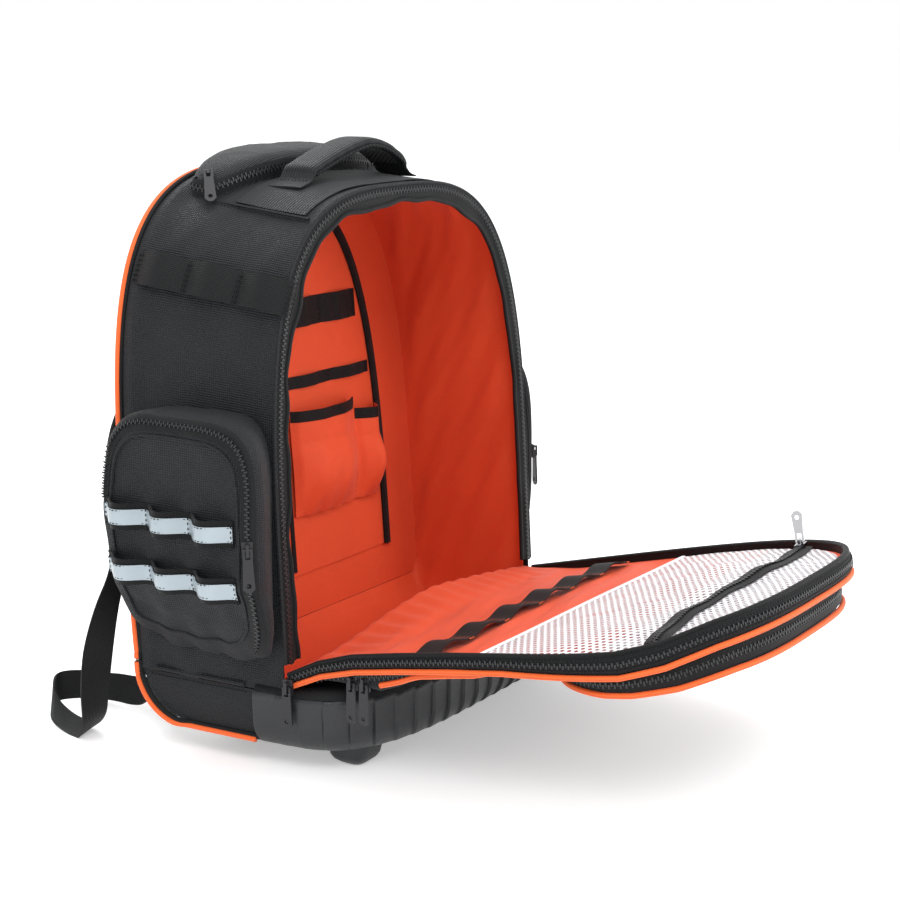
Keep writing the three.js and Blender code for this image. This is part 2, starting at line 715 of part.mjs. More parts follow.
// Everything the outside pockets must stay below.
const doorBlock = solidOf(
  wallBetween(
    doorGrid(-12, () => 30, -6),
    doorGrid(-12, (s) => panelLift(s) - DOOR.panel - CLEARANCE - 0.5, -6),
  ),
);
const doorOuter = -DOOR.rim - 2 * CLEARANCE - DOOR.panel;

// Upper outside pocket: a pan under the door, arched at its outer end and round-cornered towards the hinge.
function upperPocketOutline(inset) {
  const edge = UPPER_POCKET.inset + inset;
  const start = UPPER_POCKET.from + inset;
  const corner = UPPER_POCKET.corner;
  const side = (s) => archHalfWidth(s, BODY.width / 2 - edge, BODY.height - edge);
  const left = [0, 0.33, 0.67, 1].map((t) => {
    const turn = (t * Math.PI) / 2;
    return {
      x: -side(start + corner) + corner * (1 - Math.sin(turn)),
      s: start + corner * (1 - Math.cos(turn)),
    };
  });
  const clear = UPPER_POCKET.from + corner + 26;
  const kept = arch(0, 22).map(({ s }) => s > clear);
  const over = arch(edge, 22).filter((_, i) => kept[i]);
  return [...left, ...over, ...left.toReversed().map(({ x, s }) => ({ x: -x, s }))];
}
// Rings of a padded pocket: depth is a share of its depth, inset is how far it has drawn in.
const POCKET_RINGS = [
  { depth: -0.3, inset: 0 },
  { depth: 0.8, inset: 0 },
  { depth: 0.95, inset: 4 },
  { depth: 1, inset: 14 },
];
const upperPocketDepth = (s) => {
  const { from, nearDepth, farDepth } = UPPER_POCKET;
  return lerp(nearDepth, farDepth, THREE.MathUtils.clamp((s - from) / (BODY.height - from), 0, 1));
};
function upperPocketSolid(grow) {
  return solidOf(
    loft(
      POCKET_RINGS.map(({ depth, inset }) =>
        upperPocketOutline(inset - grow).map(({ x, s }) =>
          doorPoint(s, x, doorOuter - depth * (upperPocketDepth(s) + grow)),
        ),
      ),
    ),
  );
}
add(
  "door_pocket",
  geometryOf(upperPocketSolid(0).subtract(upperPocketSolid(-UPPER_POCKET.wall)).subtract(doorBlock)),
  FINISH.cordura,
);
function upperPocketPiping() {
  const stand = PIPING.radius + CLEARANCE;
  const path = upperPocketOutline(-stand).map(({ x, s }) =>
    doorPoint(s, x, doorOuter - 0.84 * upperPocketDepth(s)),
  );
  return piping(path, PIPING.radius, 26);
}
add("door_pocket_piping", upperPocketPiping(), FINISH.orangePiping);

// Lower outside pocket: lies folded between the door and the base and props the door up.
// Its thickness: both columns are shares, of its length and of the thickest place.
const LOWER_POCKET_THICKNESS = [
  { at: 0, share: 0.12 },
  { at: 0.38, share: 1 },
  { at: 0.5, share: 0.8 },
  { at: 0.62, share: 0.45 },
  { at: 1, share: 0.3 },
];
const lowerPocketHalf = (s) => archHalfWidth(s, BODY.width / 2 - LOWER_POCKET.inset, BODY.height);
function lowerPocketUnderside(s, x) {
  const { from, to, wedge, least } = LOWER_POCKET;
  const top = panelLift(s) - DOOR.panel - CLEARANCE - 0.2;
  const thick = wedge * tableAt(LOWER_POCKET_THICKNESS, (s - from) / (to - from), "share");
  const point = doorPoint(s, x, top - thick);
  const rest = tapeTop(point.y) + 3 * CLEARANCE;
  point.z = Math.max(point.z, Math.min(rest, doorPoint(s, x, top - least).z));
  return point;
}
function lowerPocket() {
  const { from, to } = LOWER_POCKET;
  const rows = shares(9).map((t) => lerp(from, to, t));
  const top = (s) => panelLift(s) - DOOR.panel - CLEARANCE - 0.2;
  return wallBetween(
    rows.map((s) => ACROSS.map((t) => doorPoint(s, t * lowerPocketHalf(s), top(s)))),
    rows.map((s) => ACROSS.map((t) => lowerPocketUnderside(s, t * lowerPocketHalf(s)))),
  );
}
function lowerPocketPipingPath() {
  const { from, to } = LOWER_POCKET;
  const stand = PIPING.radius + CLEARANCE;
  const edge = (s, x) => lowerPocketUnderside(Math.min(s, to), x).lerp(doorPoint(s, x, panelLift(s)), 0.25);
  const side = [0.4, 0.6, 0.8, 0.93].map((t) => lerp(from, to, t));
  const left = side.map((s) => edge(s, -lowerPocketHalf(s)));
  left.forEach((p) => (p.x -= stand));
  const across = [-0.93, -0.5, 0, 0.5, 0.93].map((t) => {
    return edge(to, t * lowerPocketHalf(to)).addScaledVector(DOOR_DIRECTION, stand);
  });
  const right = side.toReversed().map((s) => edge(s, lowerPocketHalf(s)));
  right.forEach((p) => (p.x += stand));
  return [...left, ...across, ...right];
}
const lowerPiping = piping(lowerPocketPipingPath(), PIPING.radius, 22);
const lowerPipingSpace = solidOf(piping(lowerPocketPipingPath(), PIPING.radius + CLEARANCE + 0.1, 22));
add(
  "lower_pocket",
  geometryOf(solidOf(lowerPocket()).subtract(lowerPipingSpace)),
  FINISH.cordura,
);
add("lower_pocket_piping", geometryOf(solidOf(lowerPiping).subtract(doorBlock)), FINISH.orangePiping);

// Inside of the door: elastic tool band, mesh pocket and its zip.
const liningTop = (s, x) => {
  const fall = Math.exp(-Math.max(0, s - DOOR.hingeGap) / 55);
  return foldRise(x) * fall - lerp(0.2, 1, smooth(s / 60)) * DOOR.liningDrop + LINING_WALL;
};
function toolBand() {
  const half = BODY.width / 2 - TOOL_BAND.margin;
  const steps = 4 * TOOL_BAND.loops;
  const rows = shares(steps).map((t) => {
    const x = lerp(-half, half, t);
    const wave = Math.sin(Math.PI * t * TOOL_BAND.loops) ** 2;
    return [0, 1].map((side) => {
      const s = lerp(TOOL_BAND.near, TOOL_BAND.far, t) + (side - 0.5) * TOOL_BAND.width;
      return doorPoint(s, x, liningTop(s, x) + 0.9 + TOOL_BAND.bulge * wave);
    });
  });
  return sheet(rows, -TOOL_BAND.wall);
}
add("door_tool_band", geometryOf(solidOf(toolBand()).subtract(doorLiningSpace)), FINISH.elastic);

// Slack of the mesh pocket over the door: shares of the door's length and of the slack.
const meshSlack = (s, x) => {
  const waves = 0.5 + 0.5 * Math.sin(x / 31 + s / 47);
  const half = archHalfWidth(s, BODY.width / 2 - MESH.inset, BODY.height - MESH.inset) + 1;
  const inwards = Math.max(0, 1 - (x / half) ** 2) ** 0.5;
  return 9 * inwards * lerp(0.5, 1, waves) * Math.sin(Math.PI * Math.min(1, (s - MESH.from) / 200)) - 0.4;
};
function meshPocket() {
  const inset = DOOR.rimWall + CLEARANCE + MESH.inset;
  const grid = doorGrid(inset, (s, x) => liningTop(s, x) + meshSlack(s, x), MESH.from);
  return sheet(grid, MESH.wall);
}
const meshSolid = solidOf(meshPocket()).subtract(doorLiningSpace);
add("mesh_pocket", geometryOf(meshSolid), FINISH.mesh);
function meshZip() {
  const rows = shares(14).map((t) => {
    const half = archHalfWidth(MESH.zipAt, BODY.width / 2 - 15, BODY.height);
    const x = lerp(-half, half, t);
    return [0, 1].map((side) => {
      const s = MESH.zipAt + 7 * Math.sin(x / 40) + (side - 0.5) * MESH.zipWidth;
      const proud = Math.max(0.2, meshSlack(s, x)) + MESH.wall + MESH.zipWall + 0.4;
      return doorPoint(s, x, liningTop(s, x) + proud);
    });
  });
  return sheet(rows, -MESH.zipWall);
}
add("mesh_pocket_zip", meshZip(), FINISH.blackTape);

// Side pockets: pans on the flanks with a flat face, drawn in towards the bottom.
const POCKET_HALF = {
  y: (SIDE_POCKET.rear - SIDE_POCKET.front) / 2,
  z: (SIDE_POCKET.top - SIDE_POCKET.bottom) / 2,
};
const POCKET_CENTRE = {
  y: (SIDE_POCKET.rear + SIDE_POCKET.front) / 2,
  z: (SIDE_POCKET.top + SIDE_POCKET.bottom) / 2,
};
// Share of the full reach at a share of the pocket's height.
const POCKET_REACH = [
  { at: 0, reach: 0.3 },
  { at: 0.12, reach: 0.62 },
  { at: 0.35, reach: 0.95 },
  { at: 0.6, reach: 1 },
  { at: 1, reach: 0.88 },
];
// Rings of a side pocket: reach is a share of its reach, size a share of its outline, and
// back is how far its front edge lies behind the widest place.
const SIDE_RINGS = [
  { reach: -0.6, size: 1, back: 20 },
  { reach: 0.1, size: 1, back: 17 },
  { reach: 0.75, size: 1, back: 0 },
  { reach: 0.94, size: 0.97, back: 0 },
  { reach: 1, size: 0.88, back: 2 },
];
const pocketReach = (z, reach = SIDE_POCKET.full.reach) => {
  const share = (z - SIDE_POCKET.bottom) / (SIDE_POCKET.top - SIDE_POCKET.bottom);
  return reach * tableAt(POCKET_REACH, share, "reach");
};
const pocketFaceX = (z) => -(BODY.width / 2 + pocketReach(z));
function sidePocketSolid(grow, form = SIDE_POCKET.full) {
  const steps = 16;
  const rings = SIDE_RINGS.map(({ reach, size, back }) =>
    count(steps).map((k) => {
      const turn = (2 * Math.PI * k) / steps;
      const bend = (value) => Math.sign(value) * Math.abs(value) ** (2 / SIDE_POCKET.corner);
      const half = POCKET_HALF.y + grow - (Math.cos(turn) < 0 ? Math.max(back, form.back) : 0);
      const y = POCKET_CENTRE.y + half * size * bend(Math.cos(turn));
      const z = POCKET_CENTRE.z + (POCKET_HALF.z + grow) * size * bend(Math.sin(turn));
      const root = lerp(BODY.width / 2, -flank(y, z).x, form.follow);
      return vec(-(root + reach * (pocketReach(z, form.reach) + grow)), y, z);
    }),
  );
  return solidOf(loft(rings));
}
const bodySpace = bodySolid(-CLEARANCE, -0.2, 1.2);
const sidePocket = (form) =>
  sidePocketSolid(0, form).subtract(sidePocketSolid(-SIDE_POCKET.wall, form)).subtract(bodySpace);
add("side_pocket_left", geometryOf(sidePocket(SIDE_POCKET.full)), FINISH.cordura);
add("side_pocket_right", mirrored(geometryOf(sidePocket(SIDE_POCKET.flat))), FINISH.cordura);

// Tool loops on the left pocket: elastic bands bowed out between their tacks, each with a reflective strip.
const LOOP_TACKS = [0, 1 / 3, 2 / 3, 1];
function loopRows({ middle, sunk }, width, steps) {
  const rear = SIDE_POCKET.rear - 7;
  const front = SIDE_POCKET.front + 19;
  return shares(steps).map((t) => {
    const y = lerp(rear, front, t);
    const k = Math.min(LOOP_TACKS.length - 2, LOOP_TACKS.findIndex((tack, i) => t <= LOOP_TACKS[i + 1]));
    const share = (t - LOOP_TACKS[k]) / (LOOP_TACKS[k + 1] - LOOP_TACKS[k]);
    const bow = LOOP_BAND.bulge * Math.sin(Math.PI * share) ** 2;
    const z = middle + LOOP_BAND.slope * (y - rear);
    return [-0.5, 0.5].map((side) => vec(pocketFaceX(z) + sunk - bow, y, z + side * width));
  });
}
const pocketSpace = sidePocketSolid(CLEARANCE);
LOOP_ROWS.forEach((row) => {
  const bandRows = loopRows(row, LOOP_BAND.width, 15);
  const stripRows = loopRows(row, REFLECTIVE.width, 15);
  const proud = LOOP_BAND.wall + CLEARANCE;
  const band = solidOf(layer(bandRows, 0, LOOP_BAND.wall)).subtract(pocketSpace);
  const strip = solidOf(layer(stripRows, proud, proud + REFLECTIVE.wall)).subtract(pocketSpace);
  add(`tool_loops_${row.name}`, geometryOf(band), FINISH.elastic);
  add(`reflective_strip_${row.name}`, geometryOf(strip), FINISH.reflective);
});

// Daisy chain: webbing tacked along the upper left flank.
function daisyChain() {
  const tacks = [0, 1 / 3, 2 / 3, 1];
  const rear = 84;
  const front = -66;
  const rows = shares(15).map((t) => {
    const y = lerp(rear, front, t);
    const k = Math.min(2, tacks.findIndex((tack, i) => t <= tacks[i + 1]));
    const share = (t - tacks[k]) / (tacks[k + 1] - tacks[k]);
    const lift = CLEARANCE + 0.4 + DAISY.bulge * Math.sin(Math.PI * share) ** 2;
    const z = lerp(DAISY.rearHeight, DAISY.frontHeight, t);
    return [-0.5, 0.5].map((side) => flank(y, z + side * WEBBING.width, lift));
  });
  return sheet(rows, WEBBING.wall);
}
add("daisy_chain", daisyChain(), FINISH.elastic);

// Top: a ribbed panel in front, a domed pocket behind it and the padded handle.
function topPanel() {
  const grid = shares(10).map((u) =>
    shares(3).map((v) => {
      const x = lerp(-TOP_PANEL.halfLength, TOP_PANEL.halfLength, u);
      const y = lerp(TOP_PANEL.front, TOP_PANEL.rear, v);
      return vec(x, y, crown(x, y) + CLEARANCE + 0.4);
    }),
  );
  return sheet(grid, TOP_PANEL.wall);
}
const clearBody = bodySolid(-CLEARANCE, -0.05, 1.05);
add("top_panel", geometryOf(solidOf(topPanel()).subtract(clearBody)), FINISH.cordura);

// Rings of the domed pocket: rise is a share of its height, size a share of its outline.
const DOME_RINGS = [
  { rise: -0.8, size: 1 },
  { rise: 0.3, size: 1 },
  { rise: 0.7, size: 0.93 },
  { rise: 0.93, size: 0.76 },
  { rise: 1, size: 0.4 },
];
function domeSolid(grow) {
  const middle = (TOP_POCKET.front + TOP_POCKET.rear) / 2;
  const halfDepth = (TOP_POCKET.rear - TOP_POCKET.front) / 2;
  return solidOf(
    loft(
      DOME_RINGS.map(({ rise, size }) =>
        count(16).map((k) => {
          const turn = (2 * Math.PI * k) / 16;
          const bend = (value) => Math.sign(value) * Math.abs(value) ** (2 / TOP_POCKET.corner);
          const x = (TOP_POCKET.halfLength + grow) * size * bend(Math.cos(turn));
          const y = middle + (halfDepth + grow) * size * bend(Math.sin(turn));
          return vec(x, y, crown(x, y) + rise * (TOP_POCKET.height + grow));
        }),
      ),
    ),
  );
}
add(
  "top_pocket",
  geometryOf(domeSolid(0).subtract(domeSolid(-TOP_POCKET.wall)).subtract(clearBody)),
  FINISH.cordura,
);

// Line of the handle: along is a share of the half span, rise a share of its rise above the top panel.
const HANDLE_LINE = [
  { along: -1, rise: 0, wall: 0 },
  { along: -0.84, rise: 0.02, wall: 0.1 },
  { along: -0.66, rise: 0.2, wall: 1 },
  { along: -0.38, rise: 0.52, wall: 1 },
  { along: -0.08, rise: 0.84, wall: 1 },
  { along: 0.16, rise: 1, wall: 1 },
  { along: 0.44, rise: 0.84, wall: 1 },
  { along: 0.68, rise: 0.44, wall: 1 },
  { along: 0.82, rise: 0.04, wall: 0.2 },
  { along: 0.96, rise: 0, wall: 0 },
];
function carryHandle() {
  const under = HANDLE_LINE.map(({ along, rise }) => {
    const x = along * HANDLE.halfSpan;
    const seat = crown(x, HANDLE.y) + TOP_PANEL.wall + 2 * CLEARANCE + 2;
    return vec(x, HANDLE.y, seat + rise * (HANDLE.rise - HANDLE.wall));
  });
  const line = new THREE.CatmullRomCurve3(under);
  const steps = 14;
  const wallAt = (t) => {
    const table = HANDLE_LINE.map((row, i) => ({ at: i / (HANDLE_LINE.length - 1), wall: row.wall }));
    return lerp(HANDLE.anchor, HANDLE.wall, tableAt(table, t, "wall"));
  };
  const section = [
    { y: -0.5, lift: 0.2 },
    { y: -0.42, lift: 0 },
    { y: 0.42, lift: 0 },
    { y: 0.5, lift: 0.2 },
    { y: 0.5, lift: 0.65 },
    { y: 0.36, lift: 1 },
    { y: -0.36, lift: 1 },
    { y: -0.5, lift: 0.65 },
  ];
  return loft(
    shares(steps).map((t) => {
      const point = line.getPoint(t);
      const tangent = line.getTangent(t);
      const up = vec(-tangent.z, 0, tangent.x).normalize();
      return section.map(({ y, lift }) => {
        const spot = point.clone().addScaledVector(up, lift * wallAt(t));
        spot.y += y * HANDLE.width;
        return spot;
      });
    }),
  );
}
add("carry_handle", carryHandle(), FINISH.cordura);

// Organizer hung on the back lining: an arched panel with bound edge, elastic rows and two pairs of pockets.
const organizerDepth = (z) => {
  const s = z - BODY.sill;
  return depthAt(s, liningRear) - LINING_WALL - ORGANIZER.gap;
};
function organizerHalf(z, inset = 0) {
  const height = ORGANIZER.top - ORGANIZER.bottom - inset;
  const share = THREE.MathUtils.clamp((z - ORGANIZER.bottom) / height, 0, 1);
  return (ORGANIZER.halfWidth - inset) * (1 - share ** BODY.squareness) ** (1 / BODY.squareness);
}
const ORGANIZER_ROWS = [0, 0.3, 0.5, 0.65, 0.76, 0.85, 0.92, 0.97, 0.995];
const organizerZ = (share, inset = 0) =>
  ORGANIZER.bottom + share * (ORGANIZER.top - ORGANIZER.bottom - inset);
function organizerPanel() {
  const grid = ORGANIZER_ROWS.map((share) => {
    const z = organizerZ(share);
    return [-1, -0.5, 0, 0.5, 1].map((t) => vec(t * organizerHalf(z), organizerDepth(z), z));
  });
  return sheet(grid, -ORGANIZER.wall);
}
add("organizer_panel", organizerPanel(), FINISH.orangeLining);

const inFront = ORGANIZER.wall + CLEARANCE + 0.1;
function organizerBinding() {
  const side = (inset) => {
    const up = ORGANIZER_ROWS.map((share) => {
      const z = organizerZ(share, inset);
      return { x: organizerHalf(z, inset), z };
    });
    return [...up.map(({ x, z }) => ({ x: -x, z })), ...up.toReversed()];
  };
  const ring = (inset, lift) => side(inset).map(({ x, z }) => vec(x, organizerDepth(z) - inFront - lift, z));
  return wallBetween(
    [ring(0, 0), ring(ORGANIZER.binding, 0)],
    [ring(0, ORGANIZER.bindingWall), ring(ORGANIZER.binding, ORGANIZER.bindingWall)],
  );
}
add("organizer_binding", organizerBinding(), FINISH.elastic);

function organizerTape() {
  const rows = [ORGANIZER.bottom + 4, 230, ORGANIZER_POCKET.top + 95].map((z) =>
    [-0.5, 0.5].map((t) => vec(t * ORGANIZER.tape, organizerDepth(z) - inFront, z)),
  );
  return sheet(rows, -1.8);
}
add("organizer_tape", organizerTape(), FINISH.elastic);

// Elastic rows stop short of the binding and are held at the centre tape.
const ORGANIZER_SIDES = [
  { side: "left", sign: -1 },
  { side: "right", sign: 1 },
];
ELASTIC.forEach(({ name, height, width }) => {
  ORGANIZER_SIDES.forEach(({ side, sign }) => {
    const from = ORGANIZER.tape / 2 + 2;
    const to = organizerHalf(height + width / 2, ORGANIZER.binding) - 2;
    const rows = shares(8).map((t) => {
      const bow = 3 * Math.sin(2 * Math.PI * t) ** 2;
      return [-0.5, 0.5].map((half) => {
        const z = height + half * width;
        return vec(sign * lerp(from, to, t), organizerDepth(z) - inFront - 0.3 - bow, z);
      });
    });
    add(`${name}_${side}`, sheet(rows, sign * 1.6), FINISH.elastic);
  });
});

// Two gathered pockets on each half: bulge is a share of the pocket's bulge at a share of its width.
function organizerPockets(sign) {
  const { bottom, top, drop, bulge, wall, inner, split, outer } = ORGANIZER_POCKET;
  const columns = [
    { x: inner, bow: 0 },
    { x: inner + 3, bow: 0.35 },
    { x: lerp(inner, split, 0.3), bow: 0.85 },
    { x: lerp(inner, split, 0.7), bow: 0.85 },
    { x: split - 3, bow: 0.35 },
    { x: split, bow: 0.03 },
    { x: split + 3, bow: 0.4 },
    { x: lerp(split, outer, 0.5), bow: 1 },
    { x: outer - 4, bow: 0.45 },
    { x: outer, bow: 0 },
  ];
  const rows = [0, 0.12, 0.45, 0.8, 1];
  const grid = rows.map((share) =>
    columns.map(({ x, bow }) => {
      const high = top - (x > split ? drop : 0);
      const z = lerp(bottom, high, share);
      const fullness = Math.sin(Math.PI * Math.min(0.75, 0.06 + share));
      return vec(sign * x, organizerDepth(z) - inFront - 0.2 - bulge * bow * fullness, z);
    }),
  );
  return sheet(grid, -sign * wall);
}
ORGANIZER_SIDES.forEach(({ side, sign }) => {
  add(`organizer_pockets_${side}`, organizerPockets(sign), FINISH.orangeLining);
});

// Shoulder straps behind the back, each with a ladder lock and lower webbing that lies slack on the floor.
// Places are those of the left strap: out is the distance from the centre,
// behind from the back at that height.
const STRAP_LINE = [
  { out: 52, behind: 9.8, z: 444 },
  { out: 60, behind: 17, z: 420 },
  { out: 78, behind: 23, z: 360 },
  { out: 105, behind: 26, z: 300 },
  { out: 143, behind: 38, z: 240 },
  { out: 156, behind: 36, z: 190 },
];
const behindBack = (z, distance) => depthAt(z - BODY.sill, 1) + distance;
function shoulderStrap(sign) {
  const line = new THREE.CatmullRomCurve3(
    STRAP_LINE.map(({ out, behind: away, z }) => vec(sign * out, behindBack(z, away), z)),
  );
  const section = [
    { across: -0.5, lift: 0.25 },
    { across: -0.4, lift: 0 },
    { across: 0.4, lift: 0 },
    { across: 0.5, lift: 0.25 },
    { across: 0.5, lift: 0.75 },
    { across: 0.4, lift: 1 },
    { across: -0.4, lift: 1 },
    { across: -0.5, lift: 0.75 },
  ];
  return loft(
    shares(9).map((t) => {
      const point = line.getPoint(t);
      const tangent = line.getTangent(t);
      const out = vec(0, 1, 0).addScaledVector(tangent, -tangent.y).normalize();
      const across = tangent.clone().cross(out).normalize();
      const width = lerp(STRAP.width, STRAP.tipWidth, smooth(1.6 * t - 0.4));
      return section.map(({ across: a, lift }) =>
        point
          .clone()
          .addScaledVector(across, a * width)
          .addScaledVector(out, lift * STRAP.wall),
      );
    }),
  );
}
const LOCK = { x: 163, y: behindBack(176, 41), z: 173, lean: -8 };
function ladderLock(sign) {
  const half = { x: LADDER_LOCK.width / 2, z: LADDER_LOCK.height / 2 };
  const frame = new THREE.Shape([
    new THREE.Vector2(-half.x, -half.z),
    new THREE.Vector2(half.x, -half.z),
    new THREE.Vector2(half.x - 2, half.z),
    new THREE.Vector2(2 - half.x, half.z),
  ]);
  const slotHalf = half.x - LADDER_LOCK.bar;
  [-1, 1].forEach((row) => {
    const middle = row * (LADDER_LOCK.slot / 2 + LADDER_LOCK.bar / 2);
    const [low, high] = [middle - LADDER_LOCK.slot / 2, middle + LADDER_LOCK.slot / 2];
    frame.holes.push(
      new THREE.Path([
        new THREE.Vector2(-slotHalf, low),
        new THREE.Vector2(-slotHalf, high),
        new THREE.Vector2(slotHalf, high),
        new THREE.Vector2(slotHalf, low),
      ]),
    );
  });
  const plate = new THREE.ExtrudeGeometry(frame, { depth: LADDER_LOCK.wall, bevelEnabled: false });
  return plate
    .translate(0, 0, -LADDER_LOCK.wall / 2)
    .rotateX(Math.PI / 2 + degToRad(LOCK.lean))
    .translate(sign * LOCK.x, LOCK.y, LOCK.z);
}
// Route of the lower webbing on the left, from its adjuster to the floor and back to the foot of
// the back panel: centre of the band and the direction across it.
const WEBBING_ROUTE = [
  { x: -164, y: 116.6, z: 159.8, across: [1, 0, 0] },
  { x: -182, y: 111, z: 134, across: [1, 0, 0.3] },
  { x: -197, y: 110, z: 106, across: [1, -0.3, 0.3] },
  { x: -207, y: 110, z: 76, across: [1, -0.5, 0.3] },
  { x: -213, y: 110, z: 42, across: [1, -0.7, 0.2] },
  { x: -213, y: 113, z: 16, across: [1, -0.8, 0.1] },
  { x: -210, y: 124, z: 3.6, across: [1, -0.5, 0] },
  { x: -208, y: 142, z: 2.8, across: [1, -0.2, 0] },
  { x: -201, y: 166, z: 6, across: [0.8, 0.3, 0.3] },
  { x: -187, y: 187, z: 13, across: [0.4, 0.3, 0.9] },
  { x: -168, y: 197, z: 15.5, across: [0.1, 0.1, 1] },
  { x: -152, y: 184, z: 15.5, across: [0, 0.1, 1] },
  { x: -143, y: 155, z: 15.5, across: [-0.1, 0, 1] },
  { x: -139, y: 122, z: 18, across: [0, 0, 1] },
  { x: -138, y: 99, z: 38, across: [0.7, 0, 0.7] },
  { x: -138, y: 85, z: 58, across: [1, 0, 0] },
  { x: -138, y: 82.9, z: 74, across: [1, 0, 0] },
  { x: -138, y: 83.2, z: 88, across: [1, 0, 0] },
];
function strapWebbing(sign) {
  const centres = new THREE.CatmullRomCurve3(WEBBING_ROUTE.map(({ x, y, z }) => vec(-sign * x, y, z)));
  const acrosses = new THREE.CatmullRomCurve3(
    WEBBING_ROUTE.map(({ across: [x, y, z] }) => vec(-sign * x, y, z).normalize()),
  );
  const rows = shares(28).map((t) => ({ centre: centres.getPoint(t), across: acrosses.getPoint(t) }));
  return ribbon(rows, WEBBING.width * 0.88, WEBBING.wall);
}
ORGANIZER_SIDES.forEach(({ side, sign }) => {
  add(`shoulder_strap_${side}`, shoulderStrap(sign), FINISH.spacerMesh);
  add(`ladder_lock_${side}`, ladderLock(sign), FINISH.buckle);
  add(`strap_webbing_${side}`, strapWebbing(sign), FINISH.elastic);
});

// Zip sliders and their pulls. A pull turns on a bar held under its slider's bridge.
// In the pull's own frame the bar lies along X, the tab hangs along -Y and Z points away from the cloth.
function sliderSolid() {
  const { width, length, thick, bridge, bridgeWall } = SLIDER;
  const under = -PULL_LIFT;
  const clear = PULL.bar / 2 + 0.45;
  const leg = PULL.window - 2.2;
  const body = box(vec(-width / 2, -length / 2, under), vec(width / 2, length / 2, under + thick - 1.2));
  const top = box(vec(-bridge / 2, -leg, clear), vec(bridge / 2, leg, clear + bridgeWall));
  const posts = [-1, 1].map((way) => {
    const [a, b] = [way * leg, way * (leg - bridgeWall - 0.3)].sort((p, q) => p - q);
    return box(vec(-bridge / 2, a, under + 0.5), vec(bridge / 2, b, clear + bridgeWall));
  });
  return body.add(top).add(posts[0]).add(posts[1]);
}
function pullSolid(length) {
  const { width, neck, wall, bar, window: open, hole } = PULL;
  const outline = new THREE.Shape([
    new THREE.Vector2(-neck / 2, -0.2),
    new THREE.Vector2(-neck / 2, -open - 2),
    new THREE.Vector2(-width / 2, -length + 3),
    new THREE.Vector2(-width / 2 + 3, -length),
    new THREE.Vector2(width / 2 - 3, -length),
    new THREE.Vector2(width / 2, -length + 3),
    new THREE.Vector2(neck / 2, -open - 2),
    new THREE.Vector2(neck / 2, -0.2),
  ]);
  const gap = SLIDER.bridge / 2 + 0.7;
  const slot = new THREE.Path([
    new THREE.Vector2(-gap, bar),
    new THREE.Vector2(gap, bar),
    new THREE.Vector2(gap, -open),
    new THREE.Vector2(-gap, -open),
  ]);
  const eye = new THREE.Path().absarc(0, -length + 5.5, hole / 2, 0, 2 * Math.PI, true);
  const tab = new THREE.ExtrudeGeometry(outline, { depth: wall, bevelEnabled: false, curveSegments: 8 });
  const cutter = (path, depth) => {
    const shape = new THREE.Shape(path.getPoints(3).toReversed());
    const slab = new THREE.ExtrudeGeometry(shape, { depth, bevelEnabled: false });
    return solidOf(slab.translate(0, 0, -depth / 2));
  };
  const rod = new THREE.CylinderGeometry(bar / 2, bar / 2, neck, 6).rotateZ(Math.PI / 2);
  return solidOf(tab.translate(0, 0, -wall / 2))
    .subtract(cutter(slot, 4 * wall))
    .subtract(cutter(eye, 4 * wall))
    .add(solidOf(rod));
}

// Where each slider lies: its pull's hinge, the way a pull lying flat points, the way out of the cloth
// and how many degrees its pull stands turned from lying flat.
const PULLS = [
  {
    name: "opening",
    at: [-BODY.width / 2 - 6.6, -BODY.depth / 2 - 8, BODY.sill - 5.5],
    down: [0, 0, -1],
    out: [-1, -0.15, 0],
  },
  {
    name: "lower_pocket_rear",
    at: [-BODY.width / 2 + 5.6, -BODY.depth / 2 - 61.5, BODY.sill + 5.5],
    down: [0, 0, -1],
    out: [-1, 0, 0],
  },
  {
    name: "lower_pocket_front",
    at: [-BODY.width / 2 + 5.6, -BODY.depth / 2 - 73.5, BODY.sill + 6.5],
    down: [0, 0, -1],
    out: [-1, 0, 0],
  },
  {
    name: "side_pocket_left",
    at: [
      -BODY.width / 2 - SIDE_POCKET.full.reach - 2.2,
      SIDE_POCKET.front + 4.1,
      SIDE_POCKET.top - 92,
    ],
    down: [0, -0.03, -1],
    out: [-0.75, -0.66, 0],
  },
  {
    name: "side_pocket_right",
    at: [
      BODY.width / 2 + SIDE_POCKET.flat.reach + 1.8,
      SIDE_POCKET.front + 13.4,
      SIDE_POCKET.top - 96,
    ],
    down: [0, -0.03, -1],
    out: [0.8, -0.6, 0],
  },
  {
    name: "top_pocket",
    at: [6.8 - TOP_POCKET.halfLength, TOP_POCKET.front + 28.5, BODY.sill + BODY.height + 13.1],
    down: [-0.5, -0.5, -0.72],
    out: [-0.75, -0.6, 0.4],
  },
  {
    name: "mesh_pocket",
    at: [BODY.width / 2 - 49.5, -BODY.depth / 2 - 293.1, BODY.sill + 79.9],
    down: [-1, -0.16, 0],
    out: [0, 0.25, 0.97],
    turn: -105,
    length: 26,
  },
];
const sliderGeometry = geometryOf(sliderSolid());
PULLS.forEach(({ name, at, down, out, turn = 0, length = PULL.length }) => {
  const y = vec(...down).normalize().negate();
  const x = y.clone().cross(vec(...out)).normalize();
  const z = x.clone().cross(y);
  const seat = new THREE.Group();
  seat.setRotationFromMatrix(new THREE.Matrix4().makeBasis(x, y, z));
  seat.position.set(...at);
  root.add(seat);
  const metal = name === "mesh_pocket" ? FINISH.brightMetal : FINISH.blackMetal;
  add(`zip_slider_${name}`, sliderGeometry, metal, seat);
  add(`zip_pull_${name}`, geometryOf(pullSolid(length)), metal, seat).rotation.x = degToRad(turn);
});

